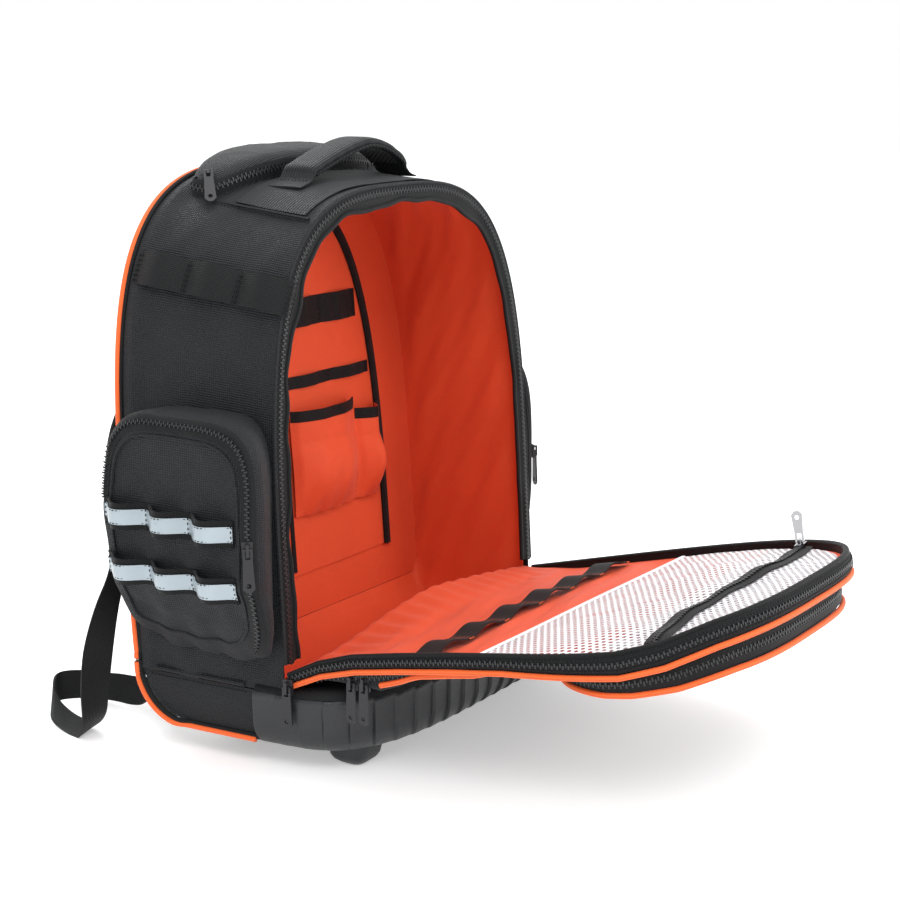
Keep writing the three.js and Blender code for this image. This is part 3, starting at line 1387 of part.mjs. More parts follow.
// The part's origin: the middle of its box, on the floor.
root.updateMatrixWorld(true);
const bounds = new THREE.Box3().setFromObject(root);
const middle = bounds.getCenter(vec(0, 0, 0));
root.children.forEach((child) => child.position.sub(vec(middle.x, middle.y, bounds.min.z)));

export default root;
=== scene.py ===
"""Dresses the packed model of a tool backpack: cloth, tapes, zips, net, piping and moulded base."""

import math

import bpy
import numpy as np
from mathutils import Matrix, Vector


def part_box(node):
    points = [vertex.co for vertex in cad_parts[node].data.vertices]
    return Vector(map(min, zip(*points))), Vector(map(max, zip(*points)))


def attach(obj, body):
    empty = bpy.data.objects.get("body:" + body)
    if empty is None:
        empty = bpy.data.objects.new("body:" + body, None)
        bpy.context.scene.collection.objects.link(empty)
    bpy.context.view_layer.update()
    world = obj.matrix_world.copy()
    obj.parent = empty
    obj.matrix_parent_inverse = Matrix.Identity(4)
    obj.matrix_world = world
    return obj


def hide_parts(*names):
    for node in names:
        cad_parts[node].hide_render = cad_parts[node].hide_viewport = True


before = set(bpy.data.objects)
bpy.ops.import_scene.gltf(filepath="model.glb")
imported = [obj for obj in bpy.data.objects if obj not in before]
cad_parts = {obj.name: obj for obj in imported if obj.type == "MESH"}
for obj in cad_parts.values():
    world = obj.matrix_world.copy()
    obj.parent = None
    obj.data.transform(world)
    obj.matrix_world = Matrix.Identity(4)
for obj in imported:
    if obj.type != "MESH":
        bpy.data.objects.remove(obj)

bl_info = {
    "name": "Tool Backpack",
    "version": (1, 0, 0),
    "blender": (4, 5, 0),
    "location": "3D View > Sidebar > Backpack",
    "description": "Makes the cloth, zips and trim of a tool backpack round its packed model",
    "category": "Object",
}

MM = 0.001
BAG = "bag"

# The bag's driving sizes in millimetres, the same as its solids have.
WIDTH, HEIGHT, DEPTH, SILL, BOTTOM = 375.0, 373.0, 141.0, 81.5, 25.0
STRAIGHT, SQUARENESS, SHOULDER, WAIST = 10.0, 3.17, 0.09, -0.03
FRONT_LEAN, REAR_LEAN, REAR_GROWTH, REAR_CORNER, TUCK = 0.05, 0.07, 12.0, 42.0, 5.5
WALL, GAP, LINING_WALL = 2.5, 0.3, 1.2
SEAM_HEIGHT = 66.6
PIPING = 2.3
FLANGE = {"width": 15.0, "foot": 8.0}
BASE = {"half": 190.0, "rear": -42.0, "front": -151.5, "square": 3.4, "top": 66.3, "under": 19.5, "ribs": 25}
TAPE = {"height": 8.4, "inset": 6.0, "wall": 1.8}
DOOR = {"tilt": math.radians(14.5), "rim": 14.5, "rim_wall": 2.8, "panel": 2.5, "drop": 7.0, "gap": 5.0,
        "fold": 19.0}
UPPER = {"from": 212.0, "inset": 13.0, "near": 12.0, "far": 29.0, "corner": 60.0}
LOWER = {"from": 24.0, "to": 184.0, "inset": 9.0, "wedge": 17.0, "least": 1.4}
SIDE = {"rear": 74.0, "front": -82.0, "top": 289.0, "bottom": 93.0, "square": 4.4}
BAND = {"width": 21.0, "bulge": 14.0, "slope": 0.02, "strip": 12.0}
LOOP_ROWS = {"upper": (209.0, 2.0), "lower": (164.0, 2.9)}
DAISY = {"rear": (84.0, 392.0), "front": (-66.0, 375.5), "bulge": 3.4, "width": 25.0}
TOP_PANEL = {"half": 116.0, "front": -44.0, "rear": 26.0, "wall": 1.0}
DOME = {"half": 118.0, "front": 30.0, "rear": 92.0, "height": 20.0, "square": 2.7}
HANDLE = {"span": 84.0, "rise": 29.0, "width": 35.0, "wall": 8.5, "y": 2.0}
ORGANIZER = {"half": 148.0, "bottom": 96.0, "top": 440.0, "wall": 1.4, "gap": 0.4, "binding": 9.0}
STRAP = {"width": 62.0, "tip": 46.0, "wall": 12.0}
WEBBING = {"width": 25.0}
TOOL_BAND = {"near": 127.0, "far": 107.0, "width": 21.0, "bulge": 3.4, "loops": 6, "margin": 14.0}
MESH = {"from": 172.0, "inset": 5.0, "zip": 306.0}

gusset_low, gusset_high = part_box("body_gusset")
SHIFT = np.array([(gusset_low.x + gusset_high.x) / 2, gusset_low.y + DEPTH / 2 * MM, 0.0])


class BackpackLooks(bpy.types.PropertyGroup):
    """Sizes and colours that a user would change."""

    black: bpy.props.FloatVectorProperty(
        name="Black cloth", description="Colour of the heavy outer cloth", subtype="COLOR", size=3,
        default=(0.0046, 0.0052, 0.006), min=0, max=1)
    orange: bpy.props.FloatVectorProperty(
        name="Orange lining", description="Colour of the lining", subtype="COLOR", size=3,
        default=(0.66, 0.078, 0.026), min=0, max=1)
    trim: bpy.props.FloatVectorProperty(
        name="Orange piping", description="Colour of the piping", subtype="COLOR", size=3,
        default=(0.86, 0.135, 0.03), min=0, max=1)
    folds: bpy.props.FloatProperty(
        name="Fold depth", description="Depth of the folds of the outer cloth", default=1.5 * MM,
        min=0, max=5 * MM, unit="LENGTH")
    coil_pitch: bpy.props.FloatProperty(
        name="Coil pitch", description="Spacing of the turns of a coil zip", default=2.1 * MM,
        min=1 * MM, max=5 * MM, unit="LENGTH")
    stitch: bpy.props.FloatProperty(
        name="Stitch length", description="Length of one stitch", default=3.2 * MM,
        min=1 * MM, max=8 * MM, unit="LENGTH")
    light: bpy.props.FloatProperty(
        name="Key light", description="Power of the main light in watts", default=34, min=0, max=500)


def looks():
    return bpy.context.scene.backpack_looks


def mix(a, b, t):
    return a + (b - a) * t


def smooth(t):
    t = np.clip(t, 0, 1)
    return t * t * (3 - 2 * t)


def curve_at(places, values, x):
    """Value at x on a smooth curve through the table: cubic pieces whose slopes are the neighbours' differences."""
    places, values, x = (np.asarray(a, float) for a in (places, values, x))
    slopes = np.gradient(values, places)
    x = np.clip(x, places[0], places[-1])
    k = np.clip(np.searchsorted(places, x) - 1, 0, len(places) - 2)
    step = places[k + 1] - places[k]
    t = (x - places[k]) / step
    rise = values[k] * (1 + 2 * t) * (1 - t) ** 2 + values[k + 1] * t * t * (3 - 2 * t)
    return rise + step * (slopes[k] * t * (1 - t) ** 2 - slopes[k + 1] * t * t * (1 - t))


def smooth_rows(points, count):
    """A smooth curve through points along their first axis, sampled evenly in the run of the points."""
    points = np.asarray(points, float)
    flat = points.reshape(len(points), -1)
    steps = np.linalg.norm(np.diff(flat, axis=0), axis=1) + 1e-9
    run = np.r_[0, np.cumsum(steps)]
    at = np.linspace(0, run[-1], count)
    columns = [curve_at(run, flat[:, c], at) for c in range(flat.shape[1])]
    return np.stack(columns, 1).reshape(count, *points.shape[1:])


def resample(points, count):
    """The polyline walked at even steps."""
    run = np.r_[0, np.cumsum(np.linalg.norm(np.diff(points, axis=0), axis=1))]
    at = np.linspace(0, run[-1], count)
    return np.stack([np.interp(at, run, points[:, c]) for c in range(points.shape[1])], 1)


def normals_of(grid):
    """Unit normals of a grid: the cross product of its two gradients."""
    along = np.gradient(grid, axis=0)
    across = np.gradient(grid, axis=1)
    normal = np.cross(along, across)
    return normal / np.maximum(np.linalg.norm(normal, axis=-1, keepdims=True), 1e-9)


def ripples(a, b, waves):
    """Sum of plane waves: each row gives height, turns per unit along a and b, and phase."""
    return sum(high * np.sin(2 * math.pi * (a * fa + b * fb) + phase) for high, fa, fb, phase in waves)


SLACK = [(0.42, 0.011, 0.004, 0.3), (0.34, -0.005, 0.013, 1.9), (0.22, 0.019, -0.016, 4.1),
         (0.14, 0.031, 0.022, 2.2), (0.10, -0.043, 0.029, 5.2)]


def quads_of(rows, cols, looped):
    i = np.arange(rows - 1)[:, None] * cols
    j = np.arange(cols if looped else cols - 1)[None, :]
    a, b = i + j, i + (j + 1) % cols
    return np.stack([a, b, b + cols, a + cols], -1).reshape(-1, 4)


def cloth_map(grid):
    """Texture places of a grid in metres: mean run along its rows and its columns."""
    def run(steps):
        return np.concatenate([np.zeros_like(steps[:1]), np.cumsum(steps, 0)])
    down = run(np.linalg.norm(np.diff(grid, axis=0), axis=-1).mean(1))
    over = run(np.linalg.norm(np.diff(grid, axis=1), axis=-1).mean(0))
    return np.stack(np.meshgrid(over, down), -1) * MM


def flat_map(grid, axes):
    """Texture places of a nearly flat grid: its own two coordinates, in metres."""
    return grid[..., axes] * MM


def sunburst_map(grid, axes):
    """Texture places of rings that close on a face: each point's run from the middle, laid out in its direction."""
    middle = grid[-1].mean(0)[list(axes)]
    run = np.cumsum(np.linalg.norm(np.diff(grid[::-1], axis=0), axis=-1), 0)[::-1]
    run = np.concatenate([run, np.zeros_like(run[:1])])
    away = grid[len(grid) // 2][:, axes] - middle
    away = away / np.maximum(np.linalg.norm(away, axis=1, keepdims=True), 1e-9)
    return (middle + away * run[..., None]) * MM


def unbroken(places, mesh):
    """Corner places in which a face across the seam of a looped grid runs on past the grid's length."""
    totals = np.empty(len(mesh.polygons), np.int32)
    mesh.polygons.foreach_get("loop_total", totals)
    face = np.repeat(np.arange(len(totals)), totals)
    most = np.full(len(totals), -np.inf)
    np.maximum.at(most, face, places[:, 0])
    long = places[:, 0].max() - places[:, 0].min()
    back = most[face] - places[:, 0] > 0.5 * max(long, 1e-6)
    places[:, 0] += back * long * (long > 0.02)
    return places


def make_mesh(name, points, faces, places):
    """An object from points in millimetres of the bag's own frame, faces turned outwards by their volume."""
    faces = [np.asarray(f) for f in faces if len(f)]
    corners = np.concatenate([f[:, [0, k, k + 1]] for f in faces for k in range(1, f.shape[1] - 1)])
    a, b, c = (points[corners[:, k]] for k in range(3))
    if np.einsum("ij,ij->", a - points.mean(0), np.cross(b, c)) < 0:
        faces = [f[:, ::-1] for f in faces]
    mesh = bpy.data.meshes.new(name)
    mesh.from_pydata((points * MM + SHIFT).tolist(), [], [list(q) for f in faces for q in f.tolist()])
    layer = mesh.uv_layers.new(name="cloth")
    loops = np.empty(len(mesh.loops), np.int32)
    mesh.loops.foreach_get("vertex_index", loops)
    layer.data.foreach_set("uv", unbroken(places[loops], mesh).astype(np.float32).ravel())
    mesh.polygons.foreach_set("use_smooth", np.ones(len(mesh.polygons), bool))
    mesh.set_sharp_from_angle(angle=math.radians(48))
    obj = bpy.data.objects.new(name, mesh)
    bpy.context.scene.collection.objects.link(obj)
    return obj


def wall_between(name, front, back, looped=False, places=None):
    """Closed mesh between two grids: both faces, joined along their free edges."""
    rows, cols = front.shape[:2]
    n = rows * cols
    places = cloth_map(front) if places is None else places
    places = np.tile(places.reshape(-1, 2), (2, 1))
    quads = quads_of(rows, cols, looped)
    faces = [quads, quads[:, ::-1] + n]
    wide = cols if looped else cols - 1
    j = np.arange(wide)
    k = (j + 1) % cols
    last = (rows - 1) * cols
    faces += [np.stack([k, j, j + n, k + n], 1),
              np.stack([j + last, k + last, k + last + n, j + last + n], 1)]
    if not looped:
        i = np.arange(rows - 1) * cols
        m = i + cols - 1
        faces += [np.stack([i, i + cols, i + cols + n, i + n], 1),
                  np.stack([m + cols, m, m + n, m + cols + n], 1)]
    return make_mesh(name, np.concatenate([front.reshape(-1, 3), back.reshape(-1, 3)]), faces, places)


def sheet_of(name, grid, wall, looped=False, places=None):
    """Cloth of one thickness: the grid and the same grid moved along its normals."""
    return wall_between(name, grid, grid + normals_of(grid) * wall, looped, places)


def loft(name, rings, caps=(True, True), axes=None):
    """Skin through closed rings, the ends drawn in to their middles in even steps."""
    def cap(ring):
        middle = ring.mean(0)
        return [mix(ring, middle, t) for t in (0.25, 0.5, 0.75, 0.93)]
    first = [r for r in cap(rings[0])][::-1] if caps[0] else []
    last = cap(rings[-1]) if caps[1] else []
    grid = np.array(first + list(rings) + last)
    rows, cols = grid.shape[:2]
    middles = np.array([grid[0].mean(0), grid[-1].mean(0)])
    j = np.arange(cols)
    k = (j + 1) % cols
    top = (rows - 1) * cols
    fans = [np.stack([k, j, np.full(cols, rows * cols)], 1),
            np.stack([j + top, k + top, np.full(cols, rows * cols + 1)], 1)]
    places = (cloth_map(grid) if axes is None else flat_map(grid, axes)).reshape(-1, 2)
    places = np.concatenate([places, places[:1], places[-1:]])
    return make_mesh(name, np.concatenate([grid.reshape(-1, 3), middles]),
                     [quads_of(rows, cols, True)] + fans, places)


def tube(name, path, wide, high=None, sides=10, up=(0, 0, 1)):
    """A cord: an ellipse of half widths wide and high, carried square to its path."""
    high = wide if high is None else high
    ahead = np.gradient(path, axis=0)
    ahead /= np.linalg.norm(ahead, axis=1, keepdims=True)
    up = np.broadcast_to(np.asarray(up, float), path.shape)
    side = np.cross(ahead, up)
    side /= np.maximum(np.linalg.norm(side, axis=1, keepdims=True), 1e-6)
    lift = np.cross(side, ahead)
    turn = np.linspace(0, 2 * math.pi, sides, endpoint=False)
    rings = path[:, None] + side[:, None] * (wide * np.cos(turn))[None, :, None]
    rings = rings + lift[:, None] * (high * np.sin(turn))[None, :, None]
    return loft(name, rings, caps=(False, False))


def blocks(name, places, along, across, size):
    """Many small eight-cornered blocks: middle, long direction, wide direction and (length, width, height)."""
    along = along / np.linalg.norm(along, axis=1, keepdims=True)
    across = across / np.linalg.norm(across, axis=1, keepdims=True)
    out = np.cross(along, across)
    signs = np.array([(x, y, z) for z in (-1, 1) for y in (-1, 1) for x in (-1, 1)], float) / 2
    signs[4:, :2] *= 0.6
    points = sum(axis[:, None] * (signs[:, k] * size[k])[None, :, None] for k,
                 axis in enumerate((along, across, out)))
    points = points + places[:, None]
    box = np.array([(0, 2, 3, 1), (4, 5, 7, 6), (0, 1, 5, 4), (2, 6, 7, 3), (0, 4, 6, 2), (1, 3, 7, 5)])
    faces = (box[None] + 8 * np.arange(len(places))[:, None, None]).reshape(-1, 4)
    flat = points.reshape(-1, 3)
    return make_mesh(name, flat, [faces], np.zeros((len(flat), 2)))


def walk(path, pitch):
    """Places, directions and normal shares along a path at an even pitch."""
    length = np.linalg.norm(np.diff(path, axis=0), axis=1).sum()
    fine = resample(path, max(3, int(length / pitch)))
    return fine, np.gradient(fine, axis=0)


def coil(name, path, out, width=5.2):
    """A coil zip: turns that cross the path, every second one set over to the other side."""
    at, ahead = walk(path, looks().coil_pitch / MM)
    out = np.broadcast_to(np.asarray(out, float), at.shape) if np.ndim(out) < 2 else resample(out, len(at))
    across = np.cross(out, ahead)
    across /= np.maximum(np.linalg.norm(across, axis=1, keepdims=True), 1e-9)
    side = np.where(np.arange(len(at)) % 2, 1, -1)[:, None]
    obj = blocks(name, at + across * side * width * 0.17, across, ahead, (width * 0.62, 1.35, 1.3))
    return dress(obj, "zip_coil", "black_tape")


def stitches(name, path, out, finish="thread_black", slot="black_cordura"):
    """A row of stitches lying on the cloth along a path."""
    at, ahead = walk(path, looks().stitch / MM)
    out = np.broadcast_to(np.asarray(out, float), at.shape) if np.ndim(out) < 2 else resample(out, len(at))
    across = np.cross(out, ahead)
    obj = blocks(name, at, ahead, across, (looks().stitch / MM * 0.72, 0.75, 0.7))
    return dress(obj, finish, slot)


def dress(obj, finish, slot, *replaced):
    """Gives a piece its material, its record slot, its body and the solids that it stands for."""
    obj.data.materials.clear()
    obj.data.materials.append(material(finish))
    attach(obj, BAG)
    if replaced:
        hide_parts(*replaced)
    return obj


def group(name, inputs, outputs):
    """An empty shader group with named sockets, its input and output nodes."""
    tree = bpy.data.node_groups.new(name, "ShaderNodeTree")
    for kind, socket, default in inputs:
        made = tree.interface.new_socket(socket, in_out="INPUT", socket_type="NodeSocket" + kind)
        if default is not None:
            made.default_value = default
    for kind, socket in outputs:
        tree.interface.new_socket(socket, in_out="OUTPUT", socket_type="NodeSocket" + kind)
    return tree, tree.nodes.new("NodeGroupInput"), tree.nodes.new("NodeGroupOutput")


def math_node(tree, operation, a, b=None):
    node = tree.nodes.new("ShaderNodeMath")
    node.operation = operation
    for socket, value in zip(node.inputs, (a, b)):
        if value is None:
            continue
        if isinstance(value, (int, float)):
            socket.default_value = value
        else:
            tree.links.new(value, socket)
    return node.outputs[0]


def dot_sine(tree, vector, direction):
    """Sine of the dot product of a place and a direction, in turns."""
    node = tree.nodes.new("ShaderNodeVectorMath")
    node.operation = "DOT_PRODUCT"
    tree.links.new(vector, node.inputs[0])
    tree.links.new(direction, node.inputs[1])
    return math_node(tree, "SINE", math_node(tree, "MULTIPLY", node.outputs["Value"], 2 * math.pi))


def threads_group():
    """Height of woven threads: one sine across the cloth, crossed by a second one."""
    if "threads" in bpy.data.node_groups:
        return bpy.data.node_groups["threads"]
    tree, given, out = group(
        "threads",
        [("Vector", "Place", None), ("Vector", "First", (400, 0, 0)), ("Vector", "Second", (0, 400, 0)),
         ("Float", "Crossing", 0.5)],
        [("Float", "Height")])
    first = dot_sine(tree, given.outputs["Place"], given.outputs["First"])
    second = dot_sine(tree, given.outputs["Place"], given.outputs["Second"])
    kept = math_node(tree, "SUBTRACT", 1.0, given.outputs["Crossing"])
    crossed = math_node(tree, "ADD", kept, math_node(tree, "MULTIPLY", second, given.outputs["Crossing"]))
    height = math_node(tree, "MULTIPLY", first, crossed)
    tree.links.new(math_node(tree, "ADD", math_node(tree, "MULTIPLY", height, 0.5), 0.5),
                   out.inputs["Height"])
    return tree


def blotch_group():
    """Slow change of shade over a surface: two sizes of noise, as cloth that has been handled."""
    if "blotches" in bpy.data.node_groups:
        return bpy.data.node_groups["blotches"]
    tree, given, out = group(
        "blotches", [("Vector", "Place", None), ("Float", "Scale", 18.0)],
        [("Float", "Shade"), ("Float", "Grain")])
    for scale, socket in ((1.0, "Shade"), (34.0, "Grain")):
        noise = tree.nodes.new("ShaderNodeTexNoise")
        noise.inputs["Detail"].default_value = 3
        tree.links.new(given.outputs["Place"], noise.inputs["Vector"])
        tree.links.new(math_node(tree, "MULTIPLY", given.outputs["Scale"], scale), noise.inputs["Scale"])
        tree.links.new(noise.outputs["Fac"], out.inputs[socket])
    return tree


def net_group():
    """Mask of an open hexagonal net: three cosines a third of a turn apart, kept where their sum is low."""
    if "net" in bpy.data.node_groups:
        return bpy.data.node_groups["net"]
    tree, given, out = group(
        "net", [("Vector", "Place", None), ("Float", "Pitch", 0.0032), ("Float", "Hole", 0.1)],
        [("Float", "Thread"), ("Float", "Height")])
    total = None
    for k in range(3):
        direction = tree.nodes.new("ShaderNodeCombineXYZ")
        turn = k * math.pi / 3
        rate = math_node(tree, "DIVIDE", 1.0, given.outputs["Pitch"])
        tree.links.new(math_node(tree, "MULTIPLY", rate, math.cos(turn)), direction.inputs[0])
        tree.links.new(math_node(tree, "MULTIPLY", rate, math.sin(turn)), direction.inputs[1])
        shifted = tree.nodes.new("ShaderNodeVectorMath")
        shifted.operation = "DOT_PRODUCT"
        tree.links.new(given.outputs["Place"], shifted.inputs[0])
        tree.links.new(direction.outputs[0], shifted.inputs[1])
        wave = math_node(tree, "COSINE", math_node(tree, "MULTIPLY", shifted.outputs["Value"], 2 * math.pi))
        total = wave if total is None else math_node(tree, "ADD", total, wave)
    thread = math_node(tree, "LESS_THAN", total, given.outputs["Hole"])
    tree.links.new(thread, out.inputs["Thread"])
    tree.links.new(math_node(tree, "MULTIPLY", total, -0.2), out.inputs["Height"])
    return tree


def twill(pitch, crossing=0.35):
    """Two directions in turns per metre for a diagonal weave."""
    rate = 1 / pitch
    return (0.7 * rate, 0.7 * rate, 0), (-1.9 * rate, 1.9 * rate, 0), crossing


def diamonds(pitch):
    """Two diagonal directions whose product makes rows of small dots set across each other."""
    rate = 0.5 / pitch
    return (rate, rate, 0), (-rate, rate, 0), 0.9


def ribs(pitch, crossing=0.3, along=False):
    rate = 1 / pitch
    first, second = (rate, 0, 0), (0, 1.4 * rate, 0)
    return (second, first, crossing) if along else (first, second, crossing)


def plain(pitch):
    rate = 0.5 / pitch
    return (rate, 0, 0), (0, rate, 0), 1.0


# Finish of each cloth: colour, share by which its thread tops are painted lighter (painted highlight of the weave),
# weave, roughness, bump in metres, sheen and how far its shade wanders.
def cloths():
    black, orange, trim = (tuple(c) for c in (looks().black, looks().orange, looks().trim))
    soft_black = tuple(0.62 * c for c in black)
    return {
        "cordura": (black, 7.0, diamonds(0.0019), 0.58, 0.0007, 0.04, 0.25),
        "ripstop": (black, 5.0, diamonds(0.0018), 0.58, 0.0005, 0.05, 0.25),
        "ribbed": (tuple(1.15 * c for c in black), 5.0, ribs(0.0026, 0.3), 0.6, 0.0007, 0.06, 0.2),
        "webbing": (soft_black, 1.9, ribs(0.0021, 0.35, along=True), 0.6, 0.0004, 0.05, 0.2),
        "elastic": (soft_black, 1.7, ribs(0.0017, 0.3), 0.66, 0.0003, 0.05, 0.2),
        "tape": (tuple(0.8 * c for c in black), 1.5, twill(0.0018, 0.3), 0.6, 0.0002, 0.05, 0.2),
        "spacer": (soft_black, 3.4, plain(0.0024), 0.75, 0.0007, 0.08, 0.2),
        "lining": (orange, 1.3, plain(0.0008), 0.6, 0.00016, 0.1, 0.14),
        "piping": (trim, 1.05, twill(0.0011, 0.2), 0.5, 0.00015, 0.1, 0.08),
        "net_hem": ((0.8, 0.79, 0.82), 1.05, plain(0.0012), 0.55, 0.0002, 0.2, 0.1),
        "thread_black": (tuple(1.3 * c for c in black), 1.6, twill(0.0006), 0.6, 0.0001, 0.1, 0.1),
        "thread_orange": (trim, 1.1, twill(0.0006), 0.55, 0.0001, 0.1, 0.1),
    }


def new_material(name):
    made = bpy.data.materials.new(name)
    made.use_nodes = True
    return made, made.node_tree, made.node_tree.nodes["Principled BSDF"]


def add_group(tree, source, **values):
    node = tree.nodes.new("ShaderNodeGroup")
    node.node_tree = source
    for socket, value in values.items():
        node.inputs[socket].default_value = value
    return node


def colour_mix(tree, factor, a, b):
    node = tree.nodes.new("ShaderNodeMix")
    node.data_type = "RGBA"
    tree.links.new(factor, node.inputs["Factor"])
    for socket, value in ((node.inputs["A"], a), (node.inputs["B"], b)):
        if isinstance(value, tuple):
            socket.default_value = (*value, 1)
        else:
            tree.links.new(value, socket)
    return node.outputs["Result"]


def bump(tree, shader, height, distance, strength=1.0):
    node = tree.nodes.new("ShaderNodeBump")
    node.inputs["Distance"].default_value = distance
    node.inputs["Strength"].default_value = strength
    tree.links.new(height, node.inputs["Height"])
    tree.links.new(node.outputs["Normal"], shader.inputs["Normal"])


def cloth(name):
    """Woven cloth: thread tops lighter than the gaps, shade that wanders, sheen and a bump of the weave."""
    colour, lift, weave, roughness, depth, sheen, wander = cloths()[name]
    made, tree, shader = new_material(name)
    places = tree.nodes.new("ShaderNodeTexCoord")
    threads = add_group(tree, threads_group(), First=weave[0], Second=weave[1], Crossing=weave[2])
    tree.links.new(places.outputs["UV"], threads.inputs["Place"])
    blotches = add_group(tree, blotch_group(), Scale=14.0)
    tree.links.new(places.outputs["Object"], blotches.inputs["Place"])
    # Painted highlight: the thread tops are painted lighter than the cloth's colour where the weave rises, times a fine
    # noise.
    painted_highlight = tuple(min(1, c * lift) for c in colour)
    dark = tuple(c * (1 - wander) for c in colour)
    shade = colour_mix(tree, blotches.outputs["Shade"], dark, tuple(min(1, c * (1 + wander)) for c in colour))
    tops = math_node(tree, "MULTIPLY", threads.outputs["Height"], blotches.outputs["Grain"])
    tree.links.new(colour_mix(tree, tops, shade, painted_highlight), shader.inputs["Base Color"])
    shader.inputs["Roughness"].default_value = roughness
    shader.inputs["Sheen Weight"].default_value = sheen
    shader.inputs["Sheen Roughness"].default_value = 0.4
    shader.inputs["Specular IOR Level"].default_value = 0.22
    bump(tree, shader, threads.outputs["Height"], depth)
    return made


def net_material():
    """White hexagonal net whose holes are see-through."""
    made, tree, shader = new_material("net")
    places = tree.nodes.new("ShaderNodeTexCoord")
    net = add_group(tree, net_group(), Pitch=0.005, Hole=0.2)
    tree.links.new(places.outputs["UV"], net.inputs["Place"])
    tree.links.new(net.outputs["Thread"], shader.inputs["Alpha"])
    blotches = add_group(tree, blotch_group(), Scale=30.0)
    tree.links.new(places.outputs["Object"], blotches.inputs["Place"])
    tree.links.new(colour_mix(tree, blotches.outputs["Shade"], (0.78, 0.76, 0.79), (0.95, 0.94, 0.96)),
                   shader.inputs["Base Color"])
    shader.inputs["Roughness"].default_value = 0.5
    shader.inputs["Sheen Weight"].default_value = 0.3
    bump(tree, shader, net.outputs["Height"], 0.0004)
    return made


def solid_material(name, colour, roughness, metallic=0.0, grain=0.0002, scale=60.0, lift=1.35):
    """Moulded or metal surface: slow shade, fine grain bump and roughness that wanders."""
    made, tree, shader = new_material(name)
    places = tree.nodes.new("ShaderNodeTexCoord")
    blotches = add_group(tree, blotch_group(), Scale=scale)
    tree.links.new(places.outputs["Object"], blotches.inputs["Place"])
    tree.links.new(colour_mix(tree, blotches.outputs["Shade"], colour,
                              tuple(min(1, c * lift) for c in colour)),
                   shader.inputs["Base Color"])
    rough = math_node(tree, "MULTIPLY", math_node(tree, "ADD", blotches.outputs["Shade"], 0.5), roughness)
    tree.links.new(rough, shader.inputs["Roughness"])
    shader.inputs["Metallic"].default_value = metallic
    bump(tree, shader, blotches.outputs["Grain"], grain)
    return made


SOLIDS = {
    "moulded": ((0.0075, 0.0085, 0.01), 0.4, 0.0, 0.0004, 26.0, 1.6),
    "zip_coil": ((0.009, 0.0095, 0.011), 0.34, 0.0, 0.0001, 300.0, 1.8),
    "reflective": ((0.30, 0.35, 0.38), 0.36, 0.25, 0.0001, 45.0, 1.25),
    "black_metal": ((0.013, 0.013, 0.015), 0.3, 0.6, 0.0001, 90.0, 1.6),
    "bright_metal": ((0.52, 0.52, 0.54), 0.24, 1.0, 0.0001, 120.0, 1.3),
    "buckle": ((0.009, 0.0095, 0.011), 0.36, 0.0, 0.0001, 90.0, 1.5),
}


def material(name):
    """The material of that name, made the first time that it is asked for."""
    if name in bpy.data.materials:
        return bpy.data.materials[name]
    if name == "net":
        return net_material()
    if name in SOLIDS:
        return solid_material(name, *SOLIDS[name])
    return cloth(name)


# Form of the bag, as its solids have it.

def arch_half(s, half, height):
    """Half width of the arch at s above the sill: a squared ellipse that flares a little upwards."""
    share = np.clip(s / height, 0, 1)
    flare = 1 + SHOULDER * share + WAIST * 4 * share * (1 - share)
    rise = np.clip((s - STRAIGHT) / (height - STRAIGHT), 0, 1)
    return half * flare * (1 - rise ** SQUARENESS) ** (1 / SQUARENESS)


def arch(inset=0.0, count=161):
    """The arch from its left foot over the crown to its right foot, walked at even steps: x and s."""
    half, height = WIDTH / 2 - inset, HEIGHT - inset
    turn = np.linspace(0, math.pi, 4 * count)
    s = STRAIGHT + (height - STRAIGHT) * np.sin(turn) ** (2 / SQUARENESS)
    x = -np.sign(np.cos(turn)) * arch_half(s, half, height)
    return resample(np.stack([x, s], 1), count)


def depth_at(s, share):
    up = np.maximum(s, 0)
    return mix(-DEPTH / 2 + FRONT_LEAN * up, DEPTH / 2 + REAR_LEAN * up, share)


def corner_rise(share, inset=0.0):
    reach = np.clip(REAR_CORNER - (1 - share) * DEPTH, 0, REAR_CORNER)
    return REAR_CORNER - math.sqrt(max(0, (REAR_CORNER - inset) ** 2 - reach ** 2))


def outline(share, inset=0.0):
    """The bag across its width at a share of its depth, from the lower left edge over the crown."""
    over = arch(inset - REAR_GROWTH * share)
    low = BOTTOM + corner_rise(share, inset) - SILL
    half = over[-1, 0]
    side = np.array([(half - TUCK, low), (half, low / 2), (half, 0)])
    loop = np.concatenate([side * (-1, 1), over, side[::-1]])
    return np.stack([loop[:, 0], depth_at(loop[:, 1], share), loop[:, 1] + SILL], 1)


def above_height(loop, height, count):
    """The stretch of an outline that lies above a height, at even steps."""
    fine = resample(loop, 900)
    kept = np.nonzero(fine[:, 2] >= height)[0]
    return resample(fine[kept[0]:kept[-1] + 1], count)


def flank(y, z, lift=0.0):
    """A point on the left flank, moved out along the flank's own normal."""
    def place(py, pz):
        s = pz - SILL
        share = (py - depth_at(s, 0)) / (depth_at(s, 1) - depth_at(s, 0))
        grown = REAR_GROWTH * share
        return np.stack([-arch_half(s, WIDTH / 2 + grown, HEIGHT + grown), py, pz], -1)
    y, z = np.broadcast_arrays(np.asarray(y, float), np.asarray(z, float))
    here = place(y, z)
    normal = np.cross(place(y, z + 1) - here, place(y + 1, z) - here)
    normal /= np.linalg.norm(normal, axis=-1, keepdims=True)
    normal = normal * -np.sign(normal[..., :1])
    return here + normal * np.asarray(lift)[..., None]


